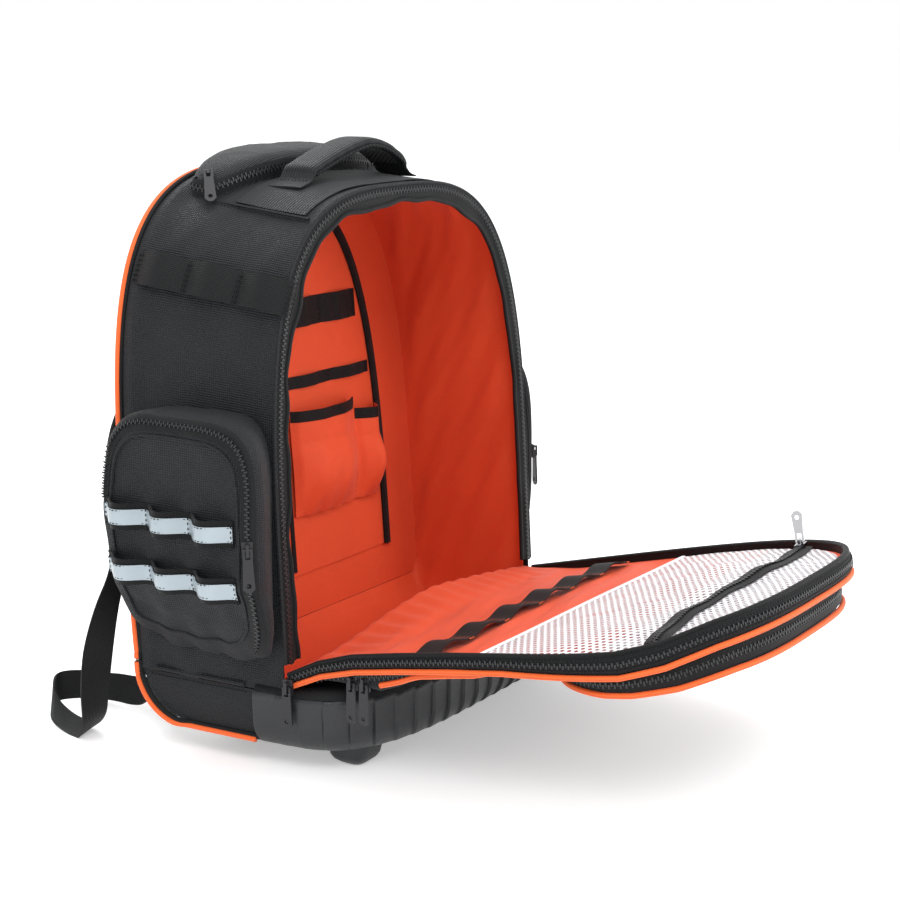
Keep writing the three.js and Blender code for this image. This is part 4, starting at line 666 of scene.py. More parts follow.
def crown(x, y):
    """Height of the top of the bag."""
    s = np.full(np.broadcast(x, y).shape, HEIGHT)
    for _ in range(5):
        share = (y - depth_at(s, 0)) / (depth_at(s, 1) - depth_at(s, 0))
        grown = REAR_GROWTH * share
        reach = np.abs(x) / ((WIDTH / 2 + grown) * (1 + SHOULDER))
        rise = np.clip(1 - reach ** SQUARENESS, 0, 1) ** (1 / SQUARENESS)
        s = STRAIGHT + (HEIGHT + grown - STRAIGHT) * rise
    return SILL + s


def folds_of(grid, depth, drawn=1.0):
    """Moves a grid along its normals by slow ripples, deepest low down where the cloth hangs together."""
    low = 1 + 0.9 * np.exp(-np.abs(grid[..., 2] - 110) / 38)
    wave = ripples(grid[..., 1] + 0.3 * grid[..., 0], grid[..., 2], SLACK)
    return grid + normals_of(grid) * (wave * low * depth * drawn)[..., None]


def make_shell():
    """Upper gusset, bottom panel, their seams and the rear piping."""
    shares = np.linspace(0, 1, 46)
    grid = np.array([above_height(outline(t), SEAM_HEIGHT + GAP, 260) for t in shares])
    edge = smooth(np.minimum(shares, 1 - shares) / 0.12)[:, None]
    depth = looks().folds / MM
    dented = folds_of(grid, depth)
    outer = mix(grid, dented, edge[..., None])
    y_from_rear = (1 - shares)[:, None] * DEPTH
    swell = 3.6 * np.exp(-((y_from_rear - 11) / 8) ** 2) + 1.6 * np.exp(-((y_from_rear - 38) / 22) ** 2)
    away = grid * (1, 0, 1) - np.array([0, 0, 240.0])
    out = normals_of(grid)
    out = out * np.sign(np.einsum("ijk,ijk->ij", out, away))[..., None]
    outer = outer + out * swell[..., None]
    inner = np.array([above_height(outline(t, WALL), SEAM_HEIGHT + GAP, 260) for t in shares])
    inner = mix(inner, grid, 0.45)
    dress(wall_between("gusset_cloth", outer, inner), "cordura", "black_cordura", "body_gusset")
    first = (BASE["rear"] + 2 * GAP + DEPTH / 2) / DEPTH
    rows = []
    for inset in (0.0, WALL):
        rings = []
        for t in np.linspace(first, 0.995, 26):
            loop = outline(t, inset)
            low, mid, foot = (loop[k].copy() for k in range(3))
            if foot[2] > SEAM_HEIGHT:
                foot = mix(mid, foot, np.clip((SEAM_HEIGHT - mid[2]) / (foot[2] - mid[2]), 0, 1))
            mid[2], low[2], foot[2] = (min(v, SEAM_HEIGHT - 0.2 * k) for k,
                                       v in enumerate((mid[2], low[2], foot[2])))
            half = np.array([foot, mid, low, (low[0] * 0.96, low[1], low[2] - 0.4)])
            rings.append(resample(np.concatenate([half, half[::-1] * (-1, 1, 1)]), 120))
        rows.append(np.array(rings))
    dress(wall_between("bottom_cloth", rows[0], rows[1]), "ripstop", "black_ripstop", "bottom_panel")
    path = rear_piping_path()
    dress(tube("rear_piping_cord", path, PIPING, sides=12), "piping", "orange_piping", "rear_piping")
    inward = path + (0, -2.6, 0)
    inward[:, 0] -= np.sign(inward[:, 0]) * 1.9
    inward[:, 2] += 2.2 * (path[:, 2] < SEAM_HEIGHT + 6)
    dress(tube("rear_welt", inward, 2.2, 2.6, sides=8), "tape", "black_tape")
    seam = np.array([flank(y, SEAM_HEIGHT + 2.6, 1.6) for y in np.linspace(-34, 60, 60)])
    dress(tube("lower_seam", seam, 0.8, 1.6, sides=8), "cordura", "black_cordura")
    for lift, name in ((5.2, "upper"), (-3.4, "under")):
        line = np.array([flank(y, SEAM_HEIGHT + lift, 0.6 + 0.2) for y in np.linspace(-34, 58, 60)])
        stitches("lower_stitches_" + name, line, (-1, 0, 0))
    for x, name in ((-TOP_PANEL["half"] - 2.6, "left"), (TOP_PANEL["half"] + 2.6, "right")):
        y = np.linspace(TOP_PANEL["front"] - 6, TOP_PANEL["rear"] + 30, 50)
        line = np.stack([np.full_like(y, x), y, crown(x, y) + 0.9], 1)
        dress(tube("crown_welt_" + name, line, 1.3, 1.1, sides=8), "cordura", "black_cordura")
        stitches("crown_stitches_" + name, line + (math.copysign(3.2, x), 0, -1.2), (0, 0, 1))


def rear_piping_path():
    """From the base along the lower edge, round the rear corner, over the crown and back down."""
    stand = PIPING + GAP + 0.2
    low = BOTTOM + REAR_CORNER
    corner_y = DEPTH / 2 - REAR_CORNER
    start = BASE["rear"] + 2 * GAP + 1
    y = np.linspace(start, corner_y, 8)
    grown = WIDTH / 2 + REAR_GROWTH * (y + DEPTH / 2) / DEPTH
    lower = np.stack([TUCK - grown - 0.75 * stand, y, np.full_like(y, BOTTOM - 0.75 * stand)], 1)
    turn = np.linspace(0.12, 0.9, 7) * math.pi / 2
    radius = REAR_CORNER + 0.7 * stand
    corner = np.stack([TUCK * (1 - turn / (math.pi / 2)) - WIDTH / 2 - REAR_GROWTH * 0.97 - 0.8 * stand,
                       corner_y + radius * np.sin(turn), low - radius * np.cos(turn)], 1)
    over = arch(-REAR_GROWTH - 0.9 * stand)
    over = np.stack([over[:, 0], depth_at(over[:, 1], 1) + 0.4 * stand, SILL + over[:, 1]], 1)
    upright = np.array([(-WIDTH / 2 - REAR_GROWTH - 0.8 * stand, DEPTH / 2 + 0.4 * stand,
                         z) for z in (low, SILL)])
    left = smooth_rows(np.concatenate([lower, corner, upright]), 60)
    return resample(np.concatenate([left, over[1:-1], left[::-1] * (-1, 1, 1)]), 420)


def base_plan(inset, count):
    """Half of a squared ellipse in plan, its sides set out to meet the bag behind."""
    turn = np.linspace(0, math.pi, 2400)
    reach = BASE["rear"] - BASE["front"] - inset
    x = -np.sign(np.cos(turn)) * np.abs(np.cos(turn)) ** (2 / BASE["square"]) * (BASE["half"] - inset)
    y = BASE["rear"] - reach * np.sin(turn) ** (2 / BASE["square"])
    plan = resample(np.stack([x, y], 1), count)
    plan[:, 0] += np.sign(plan[:, 0]) * REAR_GROWTH * np.maximum(0, 0.5 + plan[:, 1] / DEPTH)
    return plan


def make_base():
    """Moulded tub with shingled ribs, its floor and feet, and the bound tape along its edge."""
    count = 620
    sections = [(0, 14.0, 0.25), (2, 11.0, 0.8), (5, 8.2, 1.0), (14, 3.2, 1.0), (30, 1.2, 0.9),
                (41, 0.3, 0.7),
                (45.4, 0.0, 0.3), (46.8, 0.6, 0.0)]
    along = np.linspace(0, 1, count)
    share = (along * BASE["ribs"]) % 1
    shingle = mix(1.0, 0.1, share) * smooth(share / 0.05)
    side = base_plan(0, count)
    out = np.gradient(side, axis=0) @ np.array([[0, 1], [-1, 0]])
    out = -out / np.linalg.norm(out, axis=1, keepdims=True)
    out *= np.sign(np.einsum("ij,ij->i", out, side - (0, BASE["rear"])))[:, None]
    heights = np.linspace(0, sections[-1][0], 25)
    up, inset, rib = np.array(sections).T
    outer = np.zeros((len(heights), count, 3))
    inner = np.zeros_like(outer)
    for k, z in enumerate(heights):
        plan = base_plan(curve_at(up, inset, z),
                         count) + out * (2.6 * curve_at(up, rib, z) * shingle)[:, None]
        outer[k] = np.column_stack([plan, np.full(count, BASE["under"] + z)])
        inner[k] = np.column_stack([base_plan(curve_at(up, inset, z) + 3.4, count),
                                    np.full(count, BASE["under"] + z)])
    shell = dress(wall_between("base_shell", outer, inner), "moulded", "moulded_base", "base_boot")
    edge = base_plan(15, 90)
    plate_half = BASE["half"] - 62
    rear = np.array([(plate_half, -30), (plate_half, 44), (plate_half - 14, 58), (14 - plate_half, 58),
                     (-plate_half, 44), (-plate_half, -30)])
    ring = np.concatenate([edge, rear])
    floor = [np.column_stack([ring * s + (0, (1 - s) * -45), np.full(len(ring), z)])
             for s, z in ((0.985, BASE["under"]), (1, BASE["under"] + 0.8), (1, BASE["under"] + 4))]
    dress(loft("base_floor", floor), "moulded", "moulded_base")
    for name, x, y in (("front_left", -131, -98), ("front_right", 131, -98), ("rear_left", -88, 34),
                       ("rear_right", 88, 34)):
        turn = np.linspace(0, 2 * math.pi, 40, endpoint=False)
        form = np.stack([np.sign(np.cos(turn)) * np.abs(np.cos(turn)) ** 0.55,
                         np.sign(np.sin(turn)) * np.abs(np.sin(turn)) ** 0.55], 1)
        rings = [np.column_stack([form * half + (x, y), np.full(40, z)])
                 for half, z in ((9.6, 0.0), (11.4, 0.5), (15.5, 3.6), (17.6, 7), (18.6, 12), (19.2, 20))]
        dress(loft("foot_" + name, rings), "moulded", "moulded_base")
    levels = [(0.2, 0.0), (0.9, 0.25), (1.8, 0.55), (3.4, 0.86), (5.2, 0.98), (6.6, 1.0)]
    ring = [base_plan(i, 240) for i, _ in levels]
    top = [tape_top(r[:, 1]) for r in ring]
    grid = np.array([np.column_stack([r, mix(BASE["top"] + GAP, t, rise)]) for (_, rise), r,
                     t in zip(levels, ring, top)])
    keep = (grid[0, :, 1] < BASE["rear"] - 0.5)
    dress(sheet_of("base_binding", grid[:, keep], -1.6), "tape", "black_tape", "base_tape")
    line = grid[2][keep]
    stitches("base_tape_stitches", line + (0, 0, 0.4),
             np.column_stack([-np.gradient(line[:, 1]), np.gradient(line[:, 0]),
                                                                       np.full(len(line), 0.2)]), slot="black_tape")
    back = -DEPTH / 2 - GAP - 0.5
    rim = base_plan(TAPE["inset"] + TAPE["wall"] + GAP, 200)
    rim = rim[rim[:, 1] < back - 2]
    rows = []
    for t in np.linspace(0, 1, 8):
        y = mix(back, rim[:, 1], t)
        rows.append(np.column_stack([rim[:, 0], y, tape_top(y) - 1]))
    dress(sheet_of("sill_cloth", np.array(rows), -1.6), "cordura", "black_cordura", "sill_panel")


def tape_top(y):
    return BASE["top"] + TAPE["height"] * mix(0.55, 1, smooth((-DEPTH / 2 - 4 - y) / 36))


def front_ring(inset, lift, count=300):
    """A line round the opening on the front face, inset from its edge and proud of it."""
    over = arch(inset, count)
    over = over[over[:, 1] > FLANGE["foot"]]
    return np.stack([over[:, 0], depth_at(over[:, 1], 0) - lift, SILL + over[:, 1]], 1)


def make_opening():
    """Zipped edge of the opening: tape, coil, folded welt and the wavy bound edge of the lining."""
    count = 300
    wave = ripples(np.linspace(0, 1, count), 0,
                   [(0.9, 7.0, 0, 0.4), (0.6, 13.0, 0, 2.0), (0.4, 23.0, 0, 1.0)])
    insets = np.linspace(0.2, FLANGE["width"], 8)
    rows = []
    for k, inset in enumerate(insets):
        t = k / (len(insets) - 1)
        ring = resample(front_ring(inset, 0), count)
        middle = ring.mean(0)
        inwards = middle - ring
        inwards[:, 1] = 0
        inwards /= np.linalg.norm(inwards, axis=1, keepdims=True)
        ring = ring + inwards * (wave * 1.6 * t ** 2)[:, None]
        ring[:, 1] -= GAP + 1.0 + 1.5 * math.sin(math.pi * min(1, 1.3 * t)) + wave * 0.5 * t
        rows.append(ring)
    grid = np.array(rows)
    dress(sheet_of("opening_tape", grid, 1.0), "tape", "black_tape", "opening_zip")
    dress(tube("opening_edge_welt", resample(front_ring(0.6, 1.6), 300), 1.7, 2.0, sides=10, up=(0, 1, 0)),
          "cordura",
          "black_cordura")
    coil("opening_coil", resample(front_ring(5.4, 3.5), 600), (0, -1, 0))
    edge = grid[-1] + (0, -0.8, 0)
    dress(tube("opening_inner_piping", edge, 2.0, 2.0, sides=10, up=(0, 1, 0)), "tape", "black_tape")
    stitches("opening_stitches", grid[4] + (0, -1.0, 0), (0, -1, 0), slot="black_tape")


def make_lining():
    """Lining of the compartment: sides and crown with soft folds, floor and back."""
    inset = WALL + GAP + 0.2
    shares = np.linspace(0.03, 0.965, 40)
    rings = []
    for t in shares:
        loop = outline(t, inset)
        loop = np.concatenate([loop, loop[:1]])
        rings.append(resample(loop, 241)[:-1])
    grid = np.array(rings)
    y, z = grid[..., 1], grid[..., 2]
    inward = -normals_of(grid)
    middle = grid.mean((0, 1))
    inward *= np.sign(np.einsum("ijk,ijk->ij", inward, middle - grid))[..., None]
    draw = smooth(np.minimum(shares - shares[0], shares[-1] - shares) / 0.2)[:, None]
    diagonal = ripples(y + 0.55 * z, z, [(1.3, 0.016, 0.002, 0.5), (0.8, 0.027, -0.004, 2.4),
                                         (0.5, 0.05, 0.006, 1.2)])
    grid = grid + inward * ((1.6 + diagonal) * draw)[..., None]
    dress(wall_between("lining_sides", grid, grid + inward * 0.8, looped=True), "lining", "orange_lining",
          "lining")
    share = 0.962
    loop = resample(np.concatenate([outline(share, inset + 0.6), outline(share, inset + 0.6)[:1]]), 241)[:-1]
    back = np.array([mix(loop, loop.mean(0), t) for t in np.linspace(0, 0.97, 22)])
    back[..., 1] = depth_at(back[..., 2] - SILL,
                            share) - 0.3 * np.abs(ripples(back[..., 0], back[..., 2], SLACK))
    dress(wall_between("lining_back", back, back + (0, 0.9, 0), looped=True), "lining", "orange_lining")
    front_share = 0.035
    x = np.linspace(-1, 1, 60)
    low, high = BOTTOM + 4.2, SILL - 9.0
    z = np.linspace(low, high, 8)[:, None]
    half = WIDTH / 2 - inset - 1.5
    narrow = mix(TUCK, 0, np.clip((z - low) / 26, 0, 1))
    wall = np.stack(np.broadcast_arrays((half - narrow) * x, depth_at(0, front_share) + 0 * z, z), -1)
    dress(wall_between("lining_sill", wall, wall + (0, 0.9, 0)), "lining", "orange_lining")


def organizer_depth(z):
    return depth_at(z - SILL, 0.97) - LINING_WALL - ORGANIZER["gap"]


def organizer_half(z, inset=0.0):
    height = ORGANIZER["top"] - ORGANIZER["bottom"] - inset
    share = np.clip((z - ORGANIZER["bottom"]) / height, 0, 1)
    return (ORGANIZER["half"] - inset) * (1 - share ** SQUARENESS) ** (1 / SQUARENESS)


ORGANIZER_FRONT = ORGANIZER["wall"] + GAP + 0.1
SIDES = (("left", -1), ("right", 1))


def make_organizer():
    """Hanging organizer: arched panel, bound edge, centre tape, elastic rows and gathered pockets."""
    rise = np.sin(np.linspace(0, math.pi / 2, 60))
    z = ORGANIZER["bottom"] + rise * (ORGANIZER["top"] - ORGANIZER["bottom"]) * 0.999
    across = np.linspace(-1, 1, 60)
    x = organizer_half(z)[:, None] * across
    y = organizer_depth(z)[:, None] - 0.5 * (1 + ripples(x, z[:, None], SLACK)) * (1 - across ** 4)
    panel = np.stack(np.broadcast_arrays(x, y, z[:, None]), -1)
    dress(wall_between("organizer_cloth", panel, panel - (0, 1.0, 0)), "lining", "orange_lining",
          "organizer_panel")
    turn = np.sin(np.linspace(0, math.pi / 2, 90))

    def line(inset, lift):
        z = ORGANIZER["bottom"] + turn * (ORGANIZER["top"] - ORGANIZER["bottom"] - inset) * 0.9995
        half = organizer_half(z, inset)
        left = np.stack([-half, organizer_depth(z) - ORGANIZER_FRONT - lift, z], 1)
        return resample(np.concatenate([left, left[::-1] * (-1, 1, 1)]), 300)

    rows = np.array([line(inset, lift) for inset,
                     lift in ((0, 0.0), (0.5, 1.8), (2.5, 2.3), (6.5, 2.3), (8.5, 1.9), (9, 0.4))])
    dress(wall_between("organizer_edge", rows, rows + (0, 0.25, 0)), "webbing", "black_elastic",
          "organizer_binding")
    stitches("organizer_edge_stitches", line(7, 2.8), (0, -1, 0), slot="black_elastic")
    z = np.linspace(ORGANIZER["bottom"] + 4, 341, 70)[:, None]
    x = np.linspace(-2.5, 2.5, 6)
    tape = np.stack(np.broadcast_arrays(x,
                                        organizer_depth(z) - ORGANIZER_FRONT - 1.8 * (1 - (x / 2.6) ** 2) ** 0.3, z), -1)
    dress(wall_between("organizer_rib", tape, tape + (0, 0.9, 0)), "webbing", "black_elastic",
          "organizer_tape")
    for row, height, width in (("upper", 333.0, 26.0), ("lower", 271.0, 11.0)):
        for side, sign in SIDES:
            far = organizer_half(height + width / 2, ORGANIZER["binding"]) - 2
            t = np.linspace(0, 1, 90)
            z = height + np.linspace(-0.5, 0.5, 9)[:, None] * width
            bow = 3.4 * np.sin(2 * math.pi * t) ** 2 + 0.35 * np.sin(44 * t)
            x = sign * mix(4.5, far, t)
            grid = np.stack(np.broadcast_arrays(x, organizer_depth(z) - ORGANIZER_FRONT - 0.3 - bow, z), -1)
            dress(sheet_of(f"elastic_{row}_{side}", grid, sign * 1.5), "elastic", "black_elastic",
                  f"organizer_elastic_{row}_{side}")
            for tack in (0.03, 0.5, 0.97):
                at = np.array([(sign * mix(4.5, far, tack), organizer_depth(h) - ORGANIZER_FRONT - 1.9, h)
                               for h in np.linspace(height - width * 0.36, height + width * 0.36, 12)])
                stitches(f"elastic_tack_{row}_{side}_{int(100 * tack)}", at, (0, -1, 0), slot="black_elastic")
    for side, sign in SIDES:
        make_organizer_pocket(side, sign)


def make_organizer_pocket(side, sign):
    """Two gathered pockets with bound hems: bulge across is a smooth curve through its tacks."""
    inner, split, outer = 5.0, 96.0, 134.0
    places = [inner, inner + 3, mix(inner, split, 0.3), mix(inner, split, 0.7), split - 3, split, split + 3,
              mix(split, outer, 0.5), outer - 4, outer]
    bows = [0, 0.35, 0.85, 0.85, 0.35, 0.03, 0.4, 1, 0.45, 0]
    x = np.linspace(inner, outer, 110)
    bow = np.interp(x, places, bows)
    bow = np.convolve(np.pad(bow, 3, mode="edge"), np.ones(7) / 7, "valid")
    top = np.where(x > split, 235.0, 246.0)
    share = np.linspace(0, 1, 44)[:, None]
    z = mix(150.0, top, share)
    full = np.sin(math.pi * np.minimum(0.75, 0.06 + share))
    pleat = 0.9 * np.sin(x / 3.1) * np.exp(-share * 5) + 0.8 * ripples(x, z, SLACK)
    y = organizer_depth(z) - ORGANIZER_FRONT - 0.2 - 25.5 * bow * full - pleat * np.minimum(1, 3 * bow)
    grid = np.stack(np.broadcast_arrays(sign * x, y, z), -1)
    dress(sheet_of("pockets_" + side, grid, -sign * 1.2), "lining", "orange_lining",
          "organizer_pockets_" + side)
    for name, kept in (("wide", x < split - 1), ("narrow", x > split + 1)):
        hem = grid[-1][kept] + (0, -0.6, 0)
        band = np.array([hem - (0, 0.7, dz) for dz in (9.0, 6.0, 3.0, 0.0, -1.0)])
        band[0, :, 1] = grid[-5][kept][:, 1] - 0.7
        dress(sheet_of(f"pocket_hem_{name}_{side}", band, -sign * 1.3), "webbing", "black_elastic")
    base = grid[2] + (0, -1.0, 0)
    stitches("pocket_base_stitches_" + side, base, (0, -1, 0), "thread_orange", "orange_lining")


# The door. Its near edge stands above its plane by a share of the door's length.
NEAR_EDGE = np.array([(0, 0), (0.1, 0.023), (0.19, 0.03), (0.3, 0.025), (0.42, 0.017), (0.54, 0.005),
                      (0.65, -0.009), (0.77, -0.023), (0.85, -0.02), (0.93, -0.002), (1, 0.006)])
RIM_HEIGHTS = np.array([(0, 0.42), (0.19, 0.62), (0.54, 0.7), (0.77, 1), (1, 1)])
HINGE_FOLD = np.array([(-1, -0.2), (-0.53, 0.15), (-0.16, 0.75), (0.12, 1), (0.4, 0.78), (1, 0.04)])
LOWER_THICKNESS = np.array([(0, 0.12), (0.38, 1), (0.5, 0.8), (0.62, 0.45), (1, 0.3)])
ALONG_DOOR = np.array([0, -math.cos(DOOR["tilt"]), math.sin(DOOR["tilt"])])
OUT_OF_DOOR = np.array([0, math.sin(DOOR["tilt"]), math.cos(DOOR["tilt"])])
HINGE = np.array([0, -DEPTH / 2, SILL])


def door_point(s, x, lift):
    """A point of the door: s from the hinge, x across and lift out of its plane, with the wave of its near edge."""
    s, x, lift = np.broadcast_arrays(*(np.asarray(v, float) for v in (s, x, lift)))
    near = np.clip((1 - x / (WIDTH / 2)) / 2, 0, 1) ** 1.4
    wave = HEIGHT * np.interp(s / HEIGHT, *NEAR_EDGE.T) * near
    point = HINGE + s[..., None] * ALONG_DOOR + (wave + lift)[..., None] * OUT_OF_DOOR
    point[..., 0] += x
    return point


def door_edge(inset, count=460):
    """The door's outline from its near hinge over its outer end to its far hinge: x and s."""
    over = arch(inset, 700)
    foot = np.array([(over[0, 0], DOOR["gap"])])
    return resample(np.concatenate([foot, over, foot * (-1, 1)]), count)


def edge_out(edge):
    """Directions out of the door's outline, in its plane."""
    ahead = np.gradient(edge, axis=0)
    flat = np.stack([-ahead[:, 1], ahead[:, 0]], 1)
    flat /= np.linalg.norm(flat, axis=1, keepdims=True)
    return flat[:, :1] * np.array([1, 0, 0]) + flat[:, 1:] * ALONG_DOOR


def door_grid(inset, lift, start=DOOR["gap"], rows=90, cols=70):
    height = HEIGHT - inset
    v = np.sin(np.linspace(0, math.pi / 2, rows))
    s = (start + (height * 0.9995 - start) * v)[:, None]
    x = arch_half(s, WIDTH / 2 - inset, height) * np.linspace(-1, 1, cols)
    return door_point(s, x, lift(s + 0 * x, x))


def rim_height(s):
    return DOOR["rim"] * np.interp(s / HEIGHT, *RIM_HEIGHTS.T)


def fold_rise(x):
    return DOOR["fold"] * curve_at(*HINGE_FOLD.T, x / (WIDTH / 2))


def lining_lift(s, x):
    fall = np.exp(-np.maximum(0, s - DOOR["gap"]) / 55)
    return fold_rise(x) * fall - mix(0.2, 1, smooth(s / 60)) * DOOR["drop"]


def lining_top(s, x):
    return lining_lift(s, x) + LINING_WALL


def make_door():
    """Zipped rim with its coil and binding, outer panel, rolled lining and piping."""
    levels = np.linspace(0, 1, 11)
    outer, inner = [], []
    for level in levels:
        edge = door_edge(-1.4 * math.sin(math.pi * level))
        outer.append(door_point(edge[:, 1], edge[:, 0], -level * rim_height(edge[:, 1])))
        edge = door_edge(DOOR["rim_wall"])
        inner.append(door_point(edge[:, 1], edge[:, 0], -level * rim_height(edge[:, 1])))
    dress(wall_between("door_rim", np.array(outer), np.array(inner)), "tape", "black_tape", "door_zip_rim")
    edge = door_edge(1.0)
    top = door_point(edge[:, 1], edge[:, 0], 0.2)
    dress(tube("door_rim_binding", top, 2.5, 1.9, sides=12, up=OUT_OF_DOOR), "webbing", "black_tape")
    edge = door_edge(-1.9)
    middle = door_point(edge[:, 1], edge[:, 0], -0.52 * rim_height(edge[:, 1]))
    coil("door_coil", middle, edge_out(edge), width=4.6)
    for level, name in ((0.24, "upper"), (0.82, "lower")):
        edge = door_edge(-1.7)
        line = door_point(edge[:, 1], edge[:, 0], -level * rim_height(edge[:, 1]))
        stitches("door_rim_stitches_" + name, line, edge_out(edge), slot="black_tape")
    panel = door_grid(3.0, lambda s, x: -rim_height(s) - GAP)
    dress(wall_between("door_cloth", panel, panel - DOOR["panel"] * OUT_OF_DOOR,
                       places=flat_map(panel, (0, 1))),
          "cordura", "black_cordura", "door_panel")
    edge = door_edge(0, 460)
    cord = door_point(edge[:, 1], edge[:, 0], -rim_height(edge[:, 1]) - GAP - PIPING - 0.4)
    dress(tube("door_piping_cord", cord, PIPING, sides=12), "piping", "orange_piping", "door_piping")
    inset = DOOR["rim_wall"] + GAP + 0.4
    lying = door_grid(inset, lining_lift, rows=110, cols=90)
    across = np.linspace(-1, 1, 90)
    first = arch_half(DOOR["gap"], WIDTH / 2 - inset, HEIGHT - inset)
    back = 0.03 * DEPTH + LINING_WALL + GAP + 2
    roll = []
    for behind, drop, narrow in ((back, 34, 14), (back, 22, 14), (back, 9, 13), (0.45 * back, 0, 4)):
        x = across * (first - narrow)
        roll.append(np.stack([x, np.full_like(x, HINGE[1] + behind), SILL + fold_rise(x) - drop], 1))
    grid = smooth_rows(np.concatenate([roll, lying[::5]]), 118)
    s, x = HINGE[1] - grid[..., 1], grid[..., 0]
    crease = ripples(s + 0.25 * x, x, [(0.9, 0.021, 0.003, 0.2), (0.7, 0.034, -0.006, 1.4),
                                       (0.4, 0.071, 0.004, 2.8)])
    held = smooth((s - 10) / 40) * smooth((np.abs(x[:, :1]) - np.abs(x)) / 30)
    hinge = 1.4 * ripples(x, s, [(1, 0.045, 0.01,
                                  0.3)]) * np.exp(-((s - 16) / 22) ** 2) * smooth((np.abs(x[:, :1]) - np.abs(x)) / 20)
    grid = grid + ((crease * 0.9 - 0.6) * held + np.maximum(hinge, -0.8))[..., None] * OUT_OF_DOOR
    sheet = dress(sheet_of("door_lining_cloth", grid, LINING_WALL * 0.7, places=flat_map(grid, (0, 1))),
                  "lining", "orange_lining", "door_lining")


def upper_outline(inset, count=240):
    """Outline of the outer pocket: the arch of the door closed by a straight side with round corners."""
    edge, start, corner = UPPER["inset"] + inset, UPPER["from"] + inset, UPPER["corner"]
    turn = np.linspace(0, math.pi / 2, 24)
    side = float(arch_half(start + corner, WIDTH / 2 - edge, HEIGHT - edge))
    left = np.stack([-side + corner * (1 - np.sin(turn)), start + corner * (1 - np.cos(turn))], 1)
    over = arch(edge, 700)
    over = over[over[:, 1] > start + corner + 2]
    loop = np.concatenate([left, over, left[::-1] * (-1, 1), left[:1]])
    return resample(loop, count + 1)[:-1]


def upper_depth(s):
    return mix(UPPER["near"], UPPER["far"], np.clip((s - UPPER["from"]) / (HEIGHT - UPPER["from"]), 0, 1))


def make_door_pockets():
    """Outside pockets under the door with their zips, ribbed gussets and piping."""
    outer = -DOOR["rim"] - 2 * GAP - DOOR["panel"]
    rings = []
    loop = upper_outline(0)
    rings.append(door_point(loop[:, 1], loop[:, 0], -rim_height(loop[:, 1]) - DOOR["panel"] - 3 * GAP))
    profile = [(0.12, -0.4), (0.3, -0.9), (0.5, -1.0), (0.68, -0.9), (0.8, -0.2), (0.88, 1.2), (0.94, 3.6),
               (0.98, 7.5),
               (1.0, 14), (1.02, 30), (1.03, 55)]
    for depth, inset in profile:
        loop = upper_outline(inset)
        sag = 0.5 * ripples(loop[:, 0], loop[:, 1], SLACK)
        rings.append(door_point(loop[:, 1], loop[:, 0],
                                outer - depth * upper_depth(loop[:, 1]) + sag * smooth(inset / 10)))
    for share in (0.35, 0.7, 0.9, 0.995):
        inner = mix(loop, loop.mean(0), share)
        rings.append(door_point(inner[:, 1], inner[:, 0], outer - 1.03 * upper_depth(inner[:, 1])))
    grid = smooth_rows(np.array(rings), 48)
    dress(wall_between("outer_pocket_cloth", grid, grid + 1.4 * smooth_in(grid), looped=True,
                       places=sunburst_map(grid, (0, 1))), "cordura", "black_cordura", "door_pocket")
    loop = upper_outline(-1.3)
    line = door_point(loop[:, 1], loop[:, 0], outer - 0.42 * upper_depth(loop[:, 1]))
    ahead = edge_out(loop)
    band = np.array([line + ahead * 0.2 - OUT_OF_DOOR * d for d in (-8.0, -4.0, 0.0, 4.0, 8.0)])
    swell = np.array([0.2, 0.9, 1.1, 0.9, 0.2])[:, None, None]
    closed = np.concatenate([band + ahead * swell, (band + ahead * swell)[:, :1]], 1)
    dress(sheet_of("outer_pocket_zip_tape", closed, 0.8), "tape", "black_tape")
    coil("outer_pocket_coil", line + ahead * 2.0, ahead, width=5.4)
    stand = PIPING + GAP
    loop = upper_outline(-stand)
    open_loop = np.roll(loop, -60, axis=0)
    cord = door_point(open_loop[:, 1], open_loop[:, 0], outer - 0.84 * upper_depth(open_loop[:, 1]))
    cord = np.concatenate([cord, cord[:1]])
    dress(tube("outer_pocket_piping_cord", cord, PIPING, sides=12), "piping", "orange_piping",
          "door_pocket_piping")
    make_lower_pocket()


def smooth_in(grid):
    """Unit directions from a ringed grid towards its inside."""
    normal = normals_of(grid)
    inward = grid.mean((0, 1)) - grid
    return normal * np.sign(np.einsum("ijk,ijk->", normal, inward))


def lower_half(s):
    return arch_half(s, WIDTH / 2 - LOWER["inset"], HEIGHT)


def lower_top(s):
    return -rim_height(s) - GAP - DOOR["panel"] - GAP - 0.2


def lower_under(s, x):
    """Underside of the folded pocket: its wedge, kept above the base's tape."""
    share = (s - LOWER["from"]) / (LOWER["to"] - LOWER["from"])
    thick = LOWER["wedge"] * np.interp(share, *LOWER_THICKNESS.T)
    point = door_point(s, x, lower_top(s) - thick)
    rest = tape_top(point[..., 1]) + 3 * GAP
    point[..., 2] = np.maximum(point[..., 2],
                               np.minimum(rest, door_point(s, x, lower_top(s) - LOWER["least"])[..., 2]))
    return point


